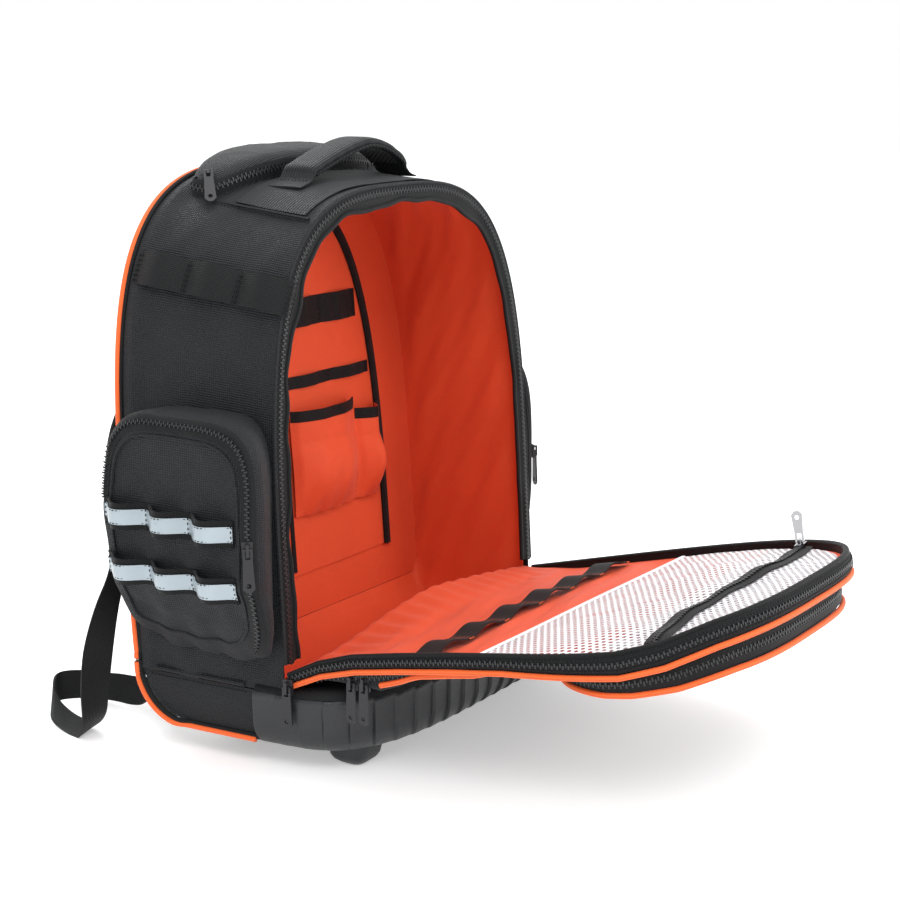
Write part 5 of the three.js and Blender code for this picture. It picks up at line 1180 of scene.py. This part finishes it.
def make_lower_pocket():
    s = np.linspace(LOWER["from"], LOWER["to"], 60)[:, None]
    x = lower_half(s) * np.linspace(-1, 1, 90)
    top = door_point(s, x, lower_top(s) + 0 * x)
    under = lower_under(s + 0 * x, x)
    sag = 0.8 + 0.8 * ripples(x, s, SLACK)
    under[..., 2] += np.minimum(sag, 0.35 * (top[..., 2] - under[..., 2]))
    dress(wall_between("folded_pocket", top, under, places=flat_map(under, (0, 1))), "cordura",
          "black_cordura", "lower_pocket")
    for side, sign in SIDES:
        s = np.linspace(LOWER["from"] + 4, LOWER["to"] - 2, 120)
        x = sign * lower_half(s)
        high, low = door_point(s, x, lower_top(s) - 0.4), lower_under(s, x) + (0, 0, 0.4)
        levels = np.linspace(0, 1, 14)[:, None]
        pleat = 2.2 * np.sin(math.pi * levels) + 1.1 * np.sin(3 * math.pi * levels) * (0.6 + 0.4 * np.sin(s / 9))
        gusset = high[None] + (low - high)[None] * levels[..., None]
        gusset[..., 0] += sign * pleat
        dress(sheet_of("folded_pocket_gusset_" + side, gusset, 0.8 * sign), "ribbed", "black_cordura")
        middle = mix(high, low, 0.3) + (sign * 3.2, 0, 0)
        coil("folded_pocket_coil_" + side, middle[:70], (sign, 0, 0), width=5.0)
    to = LOWER["to"]
    stand = PIPING + GAP
    s = mix(LOWER["from"], to, np.linspace(0.4, 0.93, 10))
    edge = mix(lower_under(s, -lower_half(s)), door_point(s, -lower_half(s), -rim_height(s) - GAP),
               0.25) - (stand, 0, 0)
    x = np.linspace(-0.93, 0.93, 16) * lower_half(to)
    front = mix(lower_under(to + 0 * x, x), door_point(to, x, -rim_height(to) - GAP),
                0.25) + ALONG_DOOR * stand
    path = np.concatenate([edge, front, edge[::-1] * (-1, 1, 1)])
    path[-10:] = mix(lower_under(s, lower_half(s)), door_point(s, lower_half(s), -rim_height(s) - GAP),
                     0.25)[::-1] + (stand, 0, 0)
    dress(tube("folded_pocket_piping_cord", smooth_rows(path, 260), PIPING, sides=12), "piping",
          "orange_piping",
          "lower_pocket_piping")


def mesh_slack(s, x):
    """Slack of the net: one long swell along the door, full in the middle and cut by slanting waves."""
    half = arch_half(s, WIDTH / 2 - MESH["inset"], HEIGHT - MESH["inset"]) + 1
    inwards = np.sqrt(np.clip(1 - (x / half) ** 2, 0, 1))
    waves = 0.5 + 0.5 * np.sin(x / 31 + s / 47)
    swell = np.sin(math.pi * np.clip((s - MESH["from"]) / 200, 0, 1))
    wrinkle = 0.8 * np.sin(x / 9.5 + s / 14) + 0.9 * np.sin(x / 15 - s / 11 + 1.3)
    return 9 * inwards * mix(0.5, 1, waves) * swell + np.minimum(wrinkle * inwards * swell,
                                                                 9 * inwards * swell) + 0.4


def make_door_inside():
    """Net pocket with its zip, and the elastic tool band with orange tacks."""
    inset = DOOR["rim_wall"] + GAP + MESH["inset"]
    net = door_grid(inset, lambda s, x: lining_top(s, x) + mesh_slack(s, x), MESH["from"], rows=96, cols=140)
    sheet = dress(sheet_of("net_pocket", net, 0.5, places=flat_map(net, (0, 1))), "net", "white_mesh",
                  "mesh_pocket")
    under = door_grid(inset + 1, lambda s, x: lining_top(s, x) + 0.35 * mesh_slack(s, x) + 0.25,
                      MESH["zip"] - 40,
                      rows=36, cols=90)
    dress(sheet_of("net_pocket_back", under, 0.4, places=flat_map(under, (0, 1))), "net", "white_mesh")
    x = np.linspace(-1, 1, 160) * (float(arch_half(MESH["from"], WIDTH / 2 - inset, HEIGHT - inset)) - 1)
    hem = door_point(MESH["from"], x, lining_top(MESH["from"], x) + mesh_slack(MESH["from"], x) + 0.8)
    dress(tube("net_hem", hem, 2.6, 0.9, sides=8, up=OUT_OF_DOOR), "net_hem", "white_mesh")
    half = float(arch_half(MESH["zip"], WIDTH / 2 - 15, HEIGHT))
    x = np.linspace(-half, half, 200)
    s = MESH["zip"] + 7 * np.sin(x / 40)
    rows = []
    for over, lift in ((-8.5, 1.6), (-5.0, 2.2), (0.0, 2.4), (5.0, 2.2), (8.5, 1.6)):
        rows.append(door_point(s + over, x, lining_top(s + over, x) + mesh_slack(s + over, x) + lift))
    rows = np.array(rows)
    dress(sheet_of("net_zip_tape", rows, 0.8), "tape", "black_tape", "mesh_pocket_zip")
    coil("net_coil", rows[2] + OUT_OF_DOOR * 1.3, OUT_OF_DOOR, width=5.6)
    half = WIDTH / 2 - TOOL_BAND["margin"]
    t = np.linspace(0, 1, 260)
    x = mix(-half, half, t)
    wave = np.sin(math.pi * t * TOOL_BAND["loops"]) ** 2
    rows = []
    for over in np.linspace(-0.5, 0.5, 9) * TOOL_BAND["width"]:
        s = mix(TOOL_BAND["near"], TOOL_BAND["far"], t) + over
        rows.append(door_point(s, x, lining_top(s, x) + 1.5 + (TOOL_BAND["bulge"] + 1.2) * wave))
    rows = np.array(rows)
    dress(sheet_of("tool_band", rows, 1.2), "elastic", "black_elastic", "door_tool_band")
    for k in range(TOOL_BAND["loops"] + 1):
        at = min(len(t) - 3, max(2, round(k / TOOL_BAND["loops"] * (len(t) - 1))))
        for step in (-1, 0, 1):
            line = resample(rows[:,
                                 at + step * 2 if 2 < at < len(t) - 4 else at + (step if k else step + 1)],
                                 20)
            stitches(f"tool_band_tack_{k}_{step + 1}", line + OUT_OF_DOOR * 0.9, OUT_OF_DOOR,
                     "thread_orange", "orange_piping")


# Side pockets: share of the full reach at a share of the height, and rings from the flank to the face.
POCKET_REACH = np.array([(0, 0.3), (0.12, 0.62), (0.35, 0.95), (0.6, 1), (1, 0.88)])
FORMS = {"left": {"reach": 47.0, "follow": 0.0, "back": 0.0},
         "right": {"reach": 10.0, "follow": 1.0, "back": 13.0}}


def pocket_reach(z, reach):
    return reach * np.interp((z - SIDE["bottom"]) / (SIDE["top"] - SIDE["bottom"]), *POCKET_REACH.T)


def pocket_ring(form, reach, size, back, grow=0.0, count=170):
    half_y, half_z = (SIDE["rear"] - SIDE["front"]) / 2, (SIDE["top"] - SIDE["bottom"]) / 2
    turn = np.linspace(-0.7 * math.pi, 1.3 * math.pi, 4 * count)
    bend = lambda v: np.sign(v) * np.abs(v) ** (2 / SIDE["square"])
    half = half_y + grow - np.where(np.cos(turn) < 0, max(back, form["back"]), 0)
    y = (SIDE["rear"] + SIDE["front"]) / 2 + half * size * bend(np.cos(turn))
    z = (SIDE["top"] + SIDE["bottom"]) / 2 + (half_z + grow) * size * bend(np.sin(turn))
    skin = flank(y, z, 0.6)
    root = mix(WIDTH / 2, -flank(y, z)[:, 0], form["follow"])
    x = np.minimum(-(root + reach * (pocket_reach(z, form["reach"]) + grow)), skin[:, 0])
    return resample(np.stack([x, y, z], 1), count + 1)[:-1]


def make_side_pockets():
    """Two zipped pockets with a flat face, gathered at the bottom."""
    for side, form in FORMS.items():
        rings = [pocket_ring(form, *row) for row in
                 ((-0.6, 1.0, 20), (0.1, 1.0, 17), (0.4, 1.0, 8), (0.75, 1.0, 0), (0.88, 0.99, 0),
                  (0.96, 0.96, 0),
                  (1.0, 0.88, 2), (1.0, 0.75, 2), (1.0, 0.5, 2), (1.0, 0.25, 2), (1.0, 0.006, 2))]
        grid = smooth_rows(np.array(rings), 62)
        y, z = grid[..., 1], grid[..., 2]
        low = np.exp(-np.maximum(0, z - SIDE["bottom"] - 6) / 34)
        gathers = 1.7 * np.sin(y / 5.2 + 0.9 * np.sin(z / 17)) * low
        diagonal = 2.6 * np.exp(-((z - 132 + 0.42 * (y + 20)) / 9) ** 2) + 1.8 * np.exp(-((z - 116 - 0.3 * y) / 7) ** 2)
        dent = (gathers + diagonal * (0.6 + 0.4 * np.sin(y / 21))) * (1.0 if side == "left" else 0.35)
        slack = (0.9 if side == "left" else 0.4) * ripples(y, z, SLACK) * 1.6
        grown = smooth(np.linspace(0, 1, len(grid)) / 0.25)[:, None]
        inward = smooth_in(grid)
        scale = 1.0 if side == "left" else 0.6
        grid = grid + inward * ((np.maximum(dent, -0.8) + slack) * grown * scale)[..., None]
        if side == "right":
            grid, inward = grid * (-1, 1, 1), inward * (-1, 1, 1)
        dress(wall_between("side_pocket_" + side + "_cloth", grid, grid + inward * 1.6, looped=True,
                           places=sunburst_map(grid, (1, 2))), "cordura", "black_cordura",
                           "side_pocket_" + side)
        row = int(len(grid) * 0.31)
        turn = np.arctan2(grid[row, :, 2] - 191, grid[row, :, 1] + 4)
        swept = np.where(turn < -1.9, turn + 2 * math.pi, turn)
        kept = np.nonzero((swept > 0.35) & (swept < math.pi + 1.0))[0]
        order = kept[np.argsort(swept[kept])]
        lines = np.array([resample(grid[row + step, order], 300) for step in (-3, -2, -1, 0, 1, 2, 3)])
        proud = -np.array([resample(inward[row + step, order], 300) for step in (-3, -2, -1, 0, 1, 2, 3)])
        dress(sheet_of(f"side_pocket_{side}_zip_tape", lines + proud * 0.5,
                       0.7 if side == "right" else -0.7), "tape",
              "black_tape")
        coil(f"side_pocket_{side}_coil", lines[3] + proud[3] * 1.5, proud[3], width=4.4)
        face = grid[int(len(grid) * 0.4)] - inward[int(len(grid) * 0.4)] * 0.4
        welt = resample(np.concatenate([face, face[:1]]), 300)
        dress(tube(f"side_pocket_{side}_welt", welt, 1.4, sides=8, up=(0, 0.2, 1)), "cordura",
              "black_cordura")


def pocket_face(z):
    return -(WIDTH / 2 + pocket_reach(z, FORMS["left"]["reach"]))


def make_loops():
    """Elastic tool loops on the left pocket with reflective tape, and the daisy chain above."""
    rear, front = SIDE["rear"] - 7, SIDE["front"] + 19
    t = np.linspace(0, 1, 240)
    y = mix(rear, front, t)
    share = (t * 3) % 1
    bow = BAND["bulge"] * np.sin(math.pi * share) ** 2
    for row, (middle, sunk) in LOOP_ROWS.items():
        def rows(width, proud, wavy=0.0):
            lines = []
            for side in np.linspace(-0.5, 0.5, 7):
                z = middle + BAND["slope"] * (y - rear) + side * width + wavy * np.sin(y / 2.2)
                lines.append(np.stack([pocket_face(z) + min(sunk, 0.9) - bow - proud, y, z], 1))
            return np.array(lines)
        band = rows(BAND["width"], 0.6, 0.12)
        dress(sheet_of("loop_band_" + row, band, -1.4), "elastic", "black_elastic", "tool_loops_" + row)
        strip = rows(BAND["strip"], 0.0)
        strip = strip + normals_of(strip) * (-2.4)
        dress(sheet_of("loop_strip_" + row, strip, -0.5), "reflective", "reflective_tape",
              "reflective_strip_" + row)
        for side in (-0.44, 0.44):
            edge = rows(BAND["strip"] * 2 * abs(side), 0.0)[0 if side < 0 else -1]
            stitches(f"loop_stitches_{row}_{'low' if side < 0 else 'high'}", edge - (3.1, 0, 0), (-1, 0, 0),
                     slot="black_elastic")
        for k in range(4):
            at = min(237, max(2, round(k * 239 / 3)))
            line = resample(band[:, at], 20) - (2.6, 0, 0)
            stitches(f"loop_tack_{row}_{k}", line, (-1, 0, 0), slot="black_elastic")
    (rear, high), (front, low) = DAISY["rear"], DAISY["front"]
    y = mix(rear, front, t)
    lift = GAP + 1.6 + (DAISY["bulge"] + 3.4) * np.abs(np.sin(math.pi * share)) ** 1.3
    band = np.array([flank(y, mix(high, low, t) + side * DAISY["width"],
                           lift) for side in np.linspace(-0.5, 0.5, 9)])
    dress(sheet_of("daisy_webbing", band, -1.6), "webbing", "black_elastic", "daisy_chain")
    for k in range(4):
        at = min(236, max(3, round(k * 239 / 3)))
        for step in (-3, 0, 3):
            line = resample(band[1:-1, min(239, max(0, at + step))], 24) - (2.2, 0, 0)
            stitches(f"daisy_tack_{k}_{step + 3}", line, (-1, 0, 0), slot="black_elastic")


def make_top():
    """Ribbed top panel, domed zipped pocket and padded carry handle."""
    x = np.linspace(-TOP_PANEL["half"], TOP_PANEL["half"], 140)[None, :]
    y = np.linspace(TOP_PANEL["front"], TOP_PANEL["rear"], 40)[:, None]
    x, y = np.broadcast_arrays(x, y)
    soft = 0.5 * (1 + ripples(x, y, SLACK))
    panel = np.stack([x, y, crown(x, y) + GAP + 0.5 + soft], -1)
    dress(sheet_of("top_cloth", panel, 0.8, places=flat_map(panel, (1, 0))), "ribbed", "black_cordura",
          "top_panel")
    middle, half_depth = (DOME["front"] + DOME["rear"]) / 2, (DOME["rear"] - DOME["front"]) / 2
    turn = np.linspace(0, 2 * math.pi, 221)[:-1]
    bend = lambda v: np.sign(v) * np.abs(v) ** (2 / DOME["square"])

    def ring(rise, size, grow=0.0):
        px = (DOME["half"] + grow) * size * bend(np.cos(turn))
        py = middle + (half_depth + grow) * size * bend(np.sin(turn))
        return np.stack([px, py, crown(px, py) + 0.5 + rise * DOME["height"]], 1)

    rings = [ring(*row) for row in ((0.0, 1.0), (0.15, 1.0), (0.3, 1.0), (0.5, 0.975), (0.7, 0.93),
                                    (0.84, 0.86),
                                    (0.93, 0.76), (0.98, 0.6), (1.0, 0.4), (1.0, 0.2), (1.0, 0.006))]
    grid = smooth_rows(np.array(rings), 44)
    grid = grid + (np.abs(ripples(grid[..., 0], grid[..., 1], SLACK)) * -0.8)[..., None] * (0, 0, 1)
    dress(wall_between("dome_cloth", grid, grid + smooth_in(grid) * 1.4, looped=True,
                       places=sunburst_map(grid, (0, 1))), "cordura", "black_cordura", "top_pocket")
    line = ring(0.42, 1.0, 0.2)
    kept = np.nonzero((np.sin(turn) < 0.25))[0]
    kept = kept[np.argsort((turn[kept] + 1.0) % (2 * math.pi))]
    line = resample(line[kept], 300)
    outward = line - (0, middle, 0)
    outward[:, 2] = 0
    outward /= np.linalg.norm(outward, axis=1, keepdims=True)
    band = np.array([line + outward * (0.5 + h) + (0, 0, d) for d,
                     h in ((-6, 0.4), (-3, 0.8), (0, 0.6), (3, -0.1), (6, -1.6))])
    dress(sheet_of("dome_zip_tape", band, 0.8), "tape", "black_tape")
    coil("dome_coil", band[2] + outward * 1.0, outward, width=5.4)
    make_handle()


HANDLE_LINE = np.array([(-1, 0, 0), (-0.84, 0.02, 0.1), (-0.66, 0.2, 1), (-0.38, 0.52, 1), (-0.08, 0.84, 1),
                        (0.16, 1, 1), (0.44, 0.84, 1), (0.68, 0.44, 1), (0.82, 0.04, 0.2), (0.96, 0, 0)])


def make_handle():
    """Padded handle: a rounded slab carried along its line, ribbed above, with an open-knit lower face."""
    x = HANDLE_LINE[:, 0] * HANDLE["span"]
    base = crown(x, np.full_like(x, HANDLE["y"])) + TOP_PANEL["wall"] + 2 * GAP + 2
    z = base + HANDLE_LINE[:, 1] * (HANDLE["rise"] - HANDLE["wall"])
    line = smooth_rows(np.stack([x, z, HANDLE_LINE[:, 2] * 30], 1), 90)
    wall = mix(1.6, HANDLE["wall"], smooth(line[:, 2] / 30))
    line[:, 1] -= 2.0 * (1 - smooth(line[:, 2] / 12))
    ahead = np.gradient(line[:, :2], axis=0)
    ahead /= np.linalg.norm(ahead, axis=1, keepdims=True)
    up = np.stack([-ahead[:, 1], ahead[:, 0]], 1)
    turn = np.linspace(0, 2 * math.pi, 48, endpoint=False)
    across = np.sign(np.cos(turn)) * np.abs(np.cos(turn)) ** 0.5
    lift = 0.5 + 0.5 * np.sign(np.sin(turn)) * np.abs(np.sin(turn)) ** 0.7
    pinch = 1 - 0.03 * np.sin(np.linspace(0, 14 * math.pi, 90)) ** 2
    rings = np.zeros((90, 48, 3))
    rings[..., 0] = line[:, :1] + up[:, :1] * lift * wall[:, None]
    rings[..., 2] = line[:, 1:2] + up[:, 1:] * lift * wall[:, None]
    rings[..., 1] = HANDLE["y"] + across * HANDLE["width"] / 2 * pinch[:, None]
    pad = dress(loft("handle_pad", rings), "ribbed", "black_cordura", "carry_handle")
    held = slice(14, 76)
    under = np.array([np.column_stack([line[held, 0] - up[held, 0] * 0.5,
                                       np.full(62, HANDLE["y"] + a * HANDLE["width"] * 0.4),
                                       line[held, 1] - up[held, 1] * 0.5]) for a in np.linspace(-1, 1, 9)])
    dress(sheet_of("handle_lower_face", under, 0.6), "spacer", "black_cordura")
    for side in (-1, 1):
        seam = np.column_stack([line[held, 0] + up[held, 0] * 1.4,
                                np.full(62, HANDLE["y"] + side * (HANDLE["width"] / 2 + 0.2)),
                                line[held, 1] + up[held, 1] * 1.4])
        dress(tube(f"handle_welt_{'front' if side < 0 else 'rear'}", seam, 1.3, 1.0, sides=8, up=(0, 1, 0)),
              "spacer",
              "black_cordura")
    for side, k in (("left", 6), ("right", 84)):
        for step in (0, 3):
            at = line[k + step]
            row = np.column_stack([np.full(16, at[0]), np.linspace(-13, 13, 16) + HANDLE["y"],
                                   np.full(16, at[1] + wall[k] + 0.3)])
            stitches(f"handle_tack_{side}_{step}", row, (0, 0, 1))


STRAP_LINE = np.array([(52, 9.8, 444), (60, 17, 420), (78, 23, 360), (105, 26, 300), (143, 38, 240),
                       (156, 36, 190)])
WEBBING_ROUTE = np.array([
    (-164, 116.6, 159.8, 1, 0, 0), (-182, 111, 134, 1, 0, 0.3), (-197, 110, 106, 1, -0.3, 0.3),
    (-207, 110, 76, 1, -0.5, 0.3), (-213, 110, 42, 1, -0.7, 0.2), (-213, 113, 16, 1, -0.8, 0.1),
    (-210, 124, 3.6, 1, -0.5, 0), (-208, 142, 2.8, 1, -0.2, 0), (-201, 166, 6, 0.8, 0.3, 0.3),
    (-187, 187, 13, 0.4, 0.3, 0.9), (-168, 197, 15.5, 0.1, 0.1, 1), (-152, 184, 15.5, 0, 0.1, 1),
    (-143, 155, 15.5, -0.1, 0, 1), (-139, 122, 18, 0, 0, 1), (-138, 99, 38, 0.7, 0, 0.7),
    (-138, 85, 58, 1, 0, 0), (-138, 82.9, 74, 1, 0, 0), (-138, 83.2, 88, 1, 0, 0)])


def make_back():
    """Padded back with sewn channels, two padded shoulder straps and their lower webbing."""
    rings = []
    for lift, inset in ((GAP + 0.2, 0.0), (4.5, 0.0), (7.2, 3.0), (8.8, 8.0), (9.6, 13.0), (10.0, 24.0),
                        (10.2, 40.0)):
        loop = outline(1.0, WALL + inset)
        loop = resample(np.concatenate([loop, loop[:1]]), 301)[:-1]
        rings.append(loop + (0, lift, 0))
    last = rings[-1]
    rings += [mix(last, last.mean(0), t) for t in (0.15, 0.3, 0.45, 0.6, 0.75, 0.9, 0.996)]
    grid = smooth_rows(np.array(rings), 84)
    x, z = grid[..., 0], grid[..., 2]
    channels = np.zeros_like(x)
    for middle in (-62.0, 62.0):
        channels += np.exp(-((x - middle * (1 + 0.12 * np.sin(z / 90))) / 5.5) ** 2)
    for middle in (165.0, 265.0, 365.0):
        channels += np.exp(-((z - middle) / 5.5) ** 2) * smooth((62 - np.abs(x)) / 8)
    inner = smooth(np.linspace(-0.25, 1, len(grid)) / 0.5)[:, None]
    grid[..., 1] -= (4.6 * np.minimum(channels, 1) + 0.4 * ripples(x, z, SLACK)) * inner
    first = grid[0].copy()
    seat = np.array([mix(first, first.mean(0), t) for t in (0.999, 0.6, 0.3, 0.02)])
    seat[..., 1] = depth_at(seat[..., 2] - SILL, 1) + GAP
    pad = dress(loft("back_pad", np.concatenate([seat, grid]), caps=(False, False), axes=(0, 2)), "spacer",
                "spacer_mesh", "back_panel")
    for side, sign in SIDES:
        line = smooth_rows(np.stack([sign * STRAP_LINE[:, 0],
                                     depth_at(STRAP_LINE[:, 2] - SILL, 1) + STRAP_LINE[:, 1],
                                     STRAP_LINE[:, 2]], 1), 100)
        ahead = np.gradient(line, axis=0)
        ahead /= np.linalg.norm(ahead, axis=1, keepdims=True)
        out = np.array([0, 1.0, 0]) - ahead * ahead[:, 1:2]
        out /= np.linalg.norm(out, axis=1, keepdims=True)
        across = np.cross(ahead, out)
        t = np.linspace(0, 1, 100)
        width = mix(STRAP["width"], STRAP["tip"], smooth(1.6 * t - 0.4))
        turn = np.linspace(0, 2 * math.pi, 56, endpoint=False)
        over = 0.5 * np.sign(np.cos(turn)) * np.abs(np.cos(turn)) ** 0.6
        lift = 0.5 + 0.5 * np.sign(np.sin(turn)) * np.abs(np.sin(turn)) ** 0.8
        puff = STRAP["wall"] * (1 - 0.28 * np.exp(-((np.abs(over) - 0.4) / 0.03) ** 2))
        rings = line[:, None] + across[:, None] * (over * width[:,
                                                                None])[..., None] + out[:, None] * (lift * puff)[None, :, None]
        pad = dress(loft("strap_pad_" + side, rings, axes=(0, 2)), "spacer", "spacer_mesh",
                    "shoulder_strap_" + side)
        for edge in (-1, 1):
            rim = line + across * (edge * (width / 2 + 0.4))[:, None] + out * STRAP["wall"] / 2
            dress(tube(f"strap_binding_{side}_{edge + 1}", rim, 2.4, 2.8, sides=10, up=(0, 1, 0)), "webbing",
                  "black_elastic")
        route = WEBBING_ROUTE * (-sign, 1, 1, -sign, 1, 1)
        fine = smooth_rows(route[:, :3], 240)
        wide = smooth_rows(np.column_stack([route[:, 3:] * 40]), 240)
        wide /= np.linalg.norm(wide, axis=1, keepdims=True)
        ribbon = np.array([fine + wide * WEBBING["width"] * a for a in np.linspace(-0.5, 0.5, 7)])
        normal = normals_of(ribbon)
        sunk = np.minimum(ribbon[..., 2] - np.abs(normal[..., 2]) * 0.8, 0.2) - 0.2
        ribbon[..., 2] -= sunk
        dress(wall_between("lower_webbing_" + side, ribbon - normal * 0.8, ribbon + normal * 0.8), "webbing",
              "black_elastic", "strap_webbing_" + side)


def make_hardware():
    """Finishes for the sliders, pulls and buckles, which keep their solids."""
    for name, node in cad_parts.items():
        if name.startswith(("zip_", "ladder_lock")):
            finish = "buckle" if "lock" in name else "bright_metal" if "mesh" in name else "black_metal"
            node.data.materials.clear()
            node.data.materials.append(material(finish))


# The photograph's camera: place in millimetres of the bag's frame, turn, lift and length of lens in pixels.
CAMERA_AT = np.array([-1249.5, -924.6, 560.5])
CAMERA_TURN, CAMERA_LIFT, CAMERA_REACH, PICTURE = math.radians(-56.7), math.radians(12.32), 1816.37, 900.0


def make_stage():
    """Pale floor and backdrop, soft lights and the camera."""
    scene = bpy.context.scene
    scene.view_settings.view_transform = "Standard"
    back = Vector((math.sin(CAMERA_TURN) * math.cos(CAMERA_LIFT),
                   -math.cos(CAMERA_TURN) * math.cos(CAMERA_LIFT),
                   math.sin(CAMERA_LIFT)))
    right = Vector((math.cos(CAMERA_TURN), math.sin(CAMERA_TURN), 0))
    up = back.cross(right)
    lens = bpy.data.cameras.new("camera")
    lens.sensor_width = 36.0
    lens.lens = 36.0 * CAMERA_REACH / PICTURE
    lens.clip_end = 50
    camera = bpy.data.objects.new("camera", lens)
    place = Matrix((right, up, back)).transposed().to_4x4()
    place.translation = Vector(CAMERA_AT * MM + SHIFT)
    camera.matrix_world = place
    scene.collection.objects.link(camera)
    scene.camera = camera
    size = 9.0
    run = np.linspace(-size, size, 3)
    points = [(x, y, 0) for y in run for x in run]
    faces = [(0, 1, 4, 3), (1, 2, 5, 4), (3, 4, 7, 6), (4, 5, 8, 7)]
    mesh = bpy.data.meshes.new("floor")
    mesh.from_pydata(points, [], faces)
    floor = bpy.data.objects.new("floor", mesh)
    scene.collection.objects.link(floor)
    pale = bpy.data.materials.new("pale_floor")
    pale.use_nodes = True
    shader = pale.node_tree.nodes["Principled BSDF"]
    shader.inputs["Base Color"].default_value = (0.9, 0.9, 0.9, 1)
    shader.inputs["Roughness"].default_value = 0.9
    shader.inputs["Emission Color"].default_value = (1, 1, 1, 1)
    shader.inputs["Emission Strength"].default_value = 0.36
    mesh.materials.append(pale)
    world = bpy.data.worlds.new("studio")
    world.use_nodes = True
    world.node_tree.nodes["Background"].inputs["Color"].default_value = (1, 1, 1, 1)
    world.node_tree.nodes["Background"].inputs["Strength"].default_value = 1.0
    scene.world = world
    for name, at, aim, side, power in (
            ("key", (-1.9, -1.7, 2.6), (0, 0, 0.2), 1.3, looks().light),
            ("top", (0.3, 0.2, 2.4), (0, 0, 0.2), 1.6, looks().light * 0.7),
            ("front", (0.6, -2.6, 1.3), (0, 0, 0.25), 1.2, looks().light * 0.6),
            ("rim", (1.2, 2.2, 1.9), (0, 0, 0.3), 1.2, looks().light * 0.5)):
        lamp = bpy.data.lights.new(name, "AREA")
        lamp.shape = "DISK"
        lamp.size = side
        lamp.energy = power
        holder = bpy.data.objects.new(name, lamp)
        holder.location = at
        holder.rotation_euler = (Vector(aim) - Vector(at)).to_track_quat("-Z", "Y").to_euler()
        scene.collection.objects.link(holder)


def piece_operator(idname, label, text, make):
    """An operator class that makes one group of pieces."""
    def execute(self, context):
        make()
        return {"FINISHED"}
    return type(idname, (bpy.types.Operator,), {
        "bl_idname": "backpack." + idname, "bl_label": label, "__doc__": text,
        "bl_options": {"REGISTER", "UNDO"},
        "execute": execute})


PIECES = [
    ("stage", "Stage", "Floor, lights and camera", make_stage),
    ("shell", "Outer Shell", "Gusset, bottom panel and rear piping", make_shell),
    ("base", "Moulded Base", "Ribbed tub, feet and bound tape", make_base),
    ("opening", "Opening", "Zipped edge round the opening", make_opening),
    ("lining", "Lining", "Orange lining of the compartment", make_lining),
    ("organizer", "Organizer", "Hanging panel with elastic rows and pockets", make_organizer),
    ("door", "Door", "Rim, panel, lining and piping", make_door),
    ("door_pockets", "Door Pockets", "Zipped pockets under the door", make_door_pockets),
    ("door_inside", "Door Inside", "Net pocket and tool band", make_door_inside),
    ("side_pockets", "Side Pockets", "Zipped pockets on the flanks", make_side_pockets),
    ("loops", "Loops", "Tool loops, reflective tape and daisy chain", make_loops),
    ("top", "Top", "Top panel, domed pocket and handle", make_top),
    ("back", "Back", "Padded back, straps and webbing", make_back),
    ("hardware", "Hardware", "Sliders, pulls and buckles", make_hardware),
]
OPERATORS = [piece_operator(*row) for row in PIECES]


class BACKPACK_PT_pieces(bpy.types.Panel):
    """Lists the pieces of the backpack."""

    bl_label = "Backpack"
    bl_idname = "BACKPACK_PT_pieces"
    bl_space_type = "VIEW_3D"
    bl_region_type = "UI"
    bl_category = "Backpack"

    def draw(self, context):
        for name in ("black", "orange", "trim", "folds", "coil_pitch", "stitch", "light"):
            self.layout.prop(context.scene.backpack_looks, name)
        for idname, *_ in PIECES:
            self.layout.operator("backpack." + idname)


CLASSES = [BackpackLooks, *OPERATORS, BACKPACK_PT_pieces]


def register():
    for made in CLASSES:
        bpy.utils.register_class(made)
    bpy.types.Scene.backpack_looks = bpy.props.PointerProperty(type=BackpackLooks)


def unregister():
    del bpy.types.Scene.backpack_looks
    for made in reversed(CLASSES):
        bpy.utils.unregister_class(made)


def main():
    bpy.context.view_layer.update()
    register()
    for idname, *_ in PIECES:
        getattr(bpy.ops.backpack, idname)()


if __name__ == "__main__":
    main()
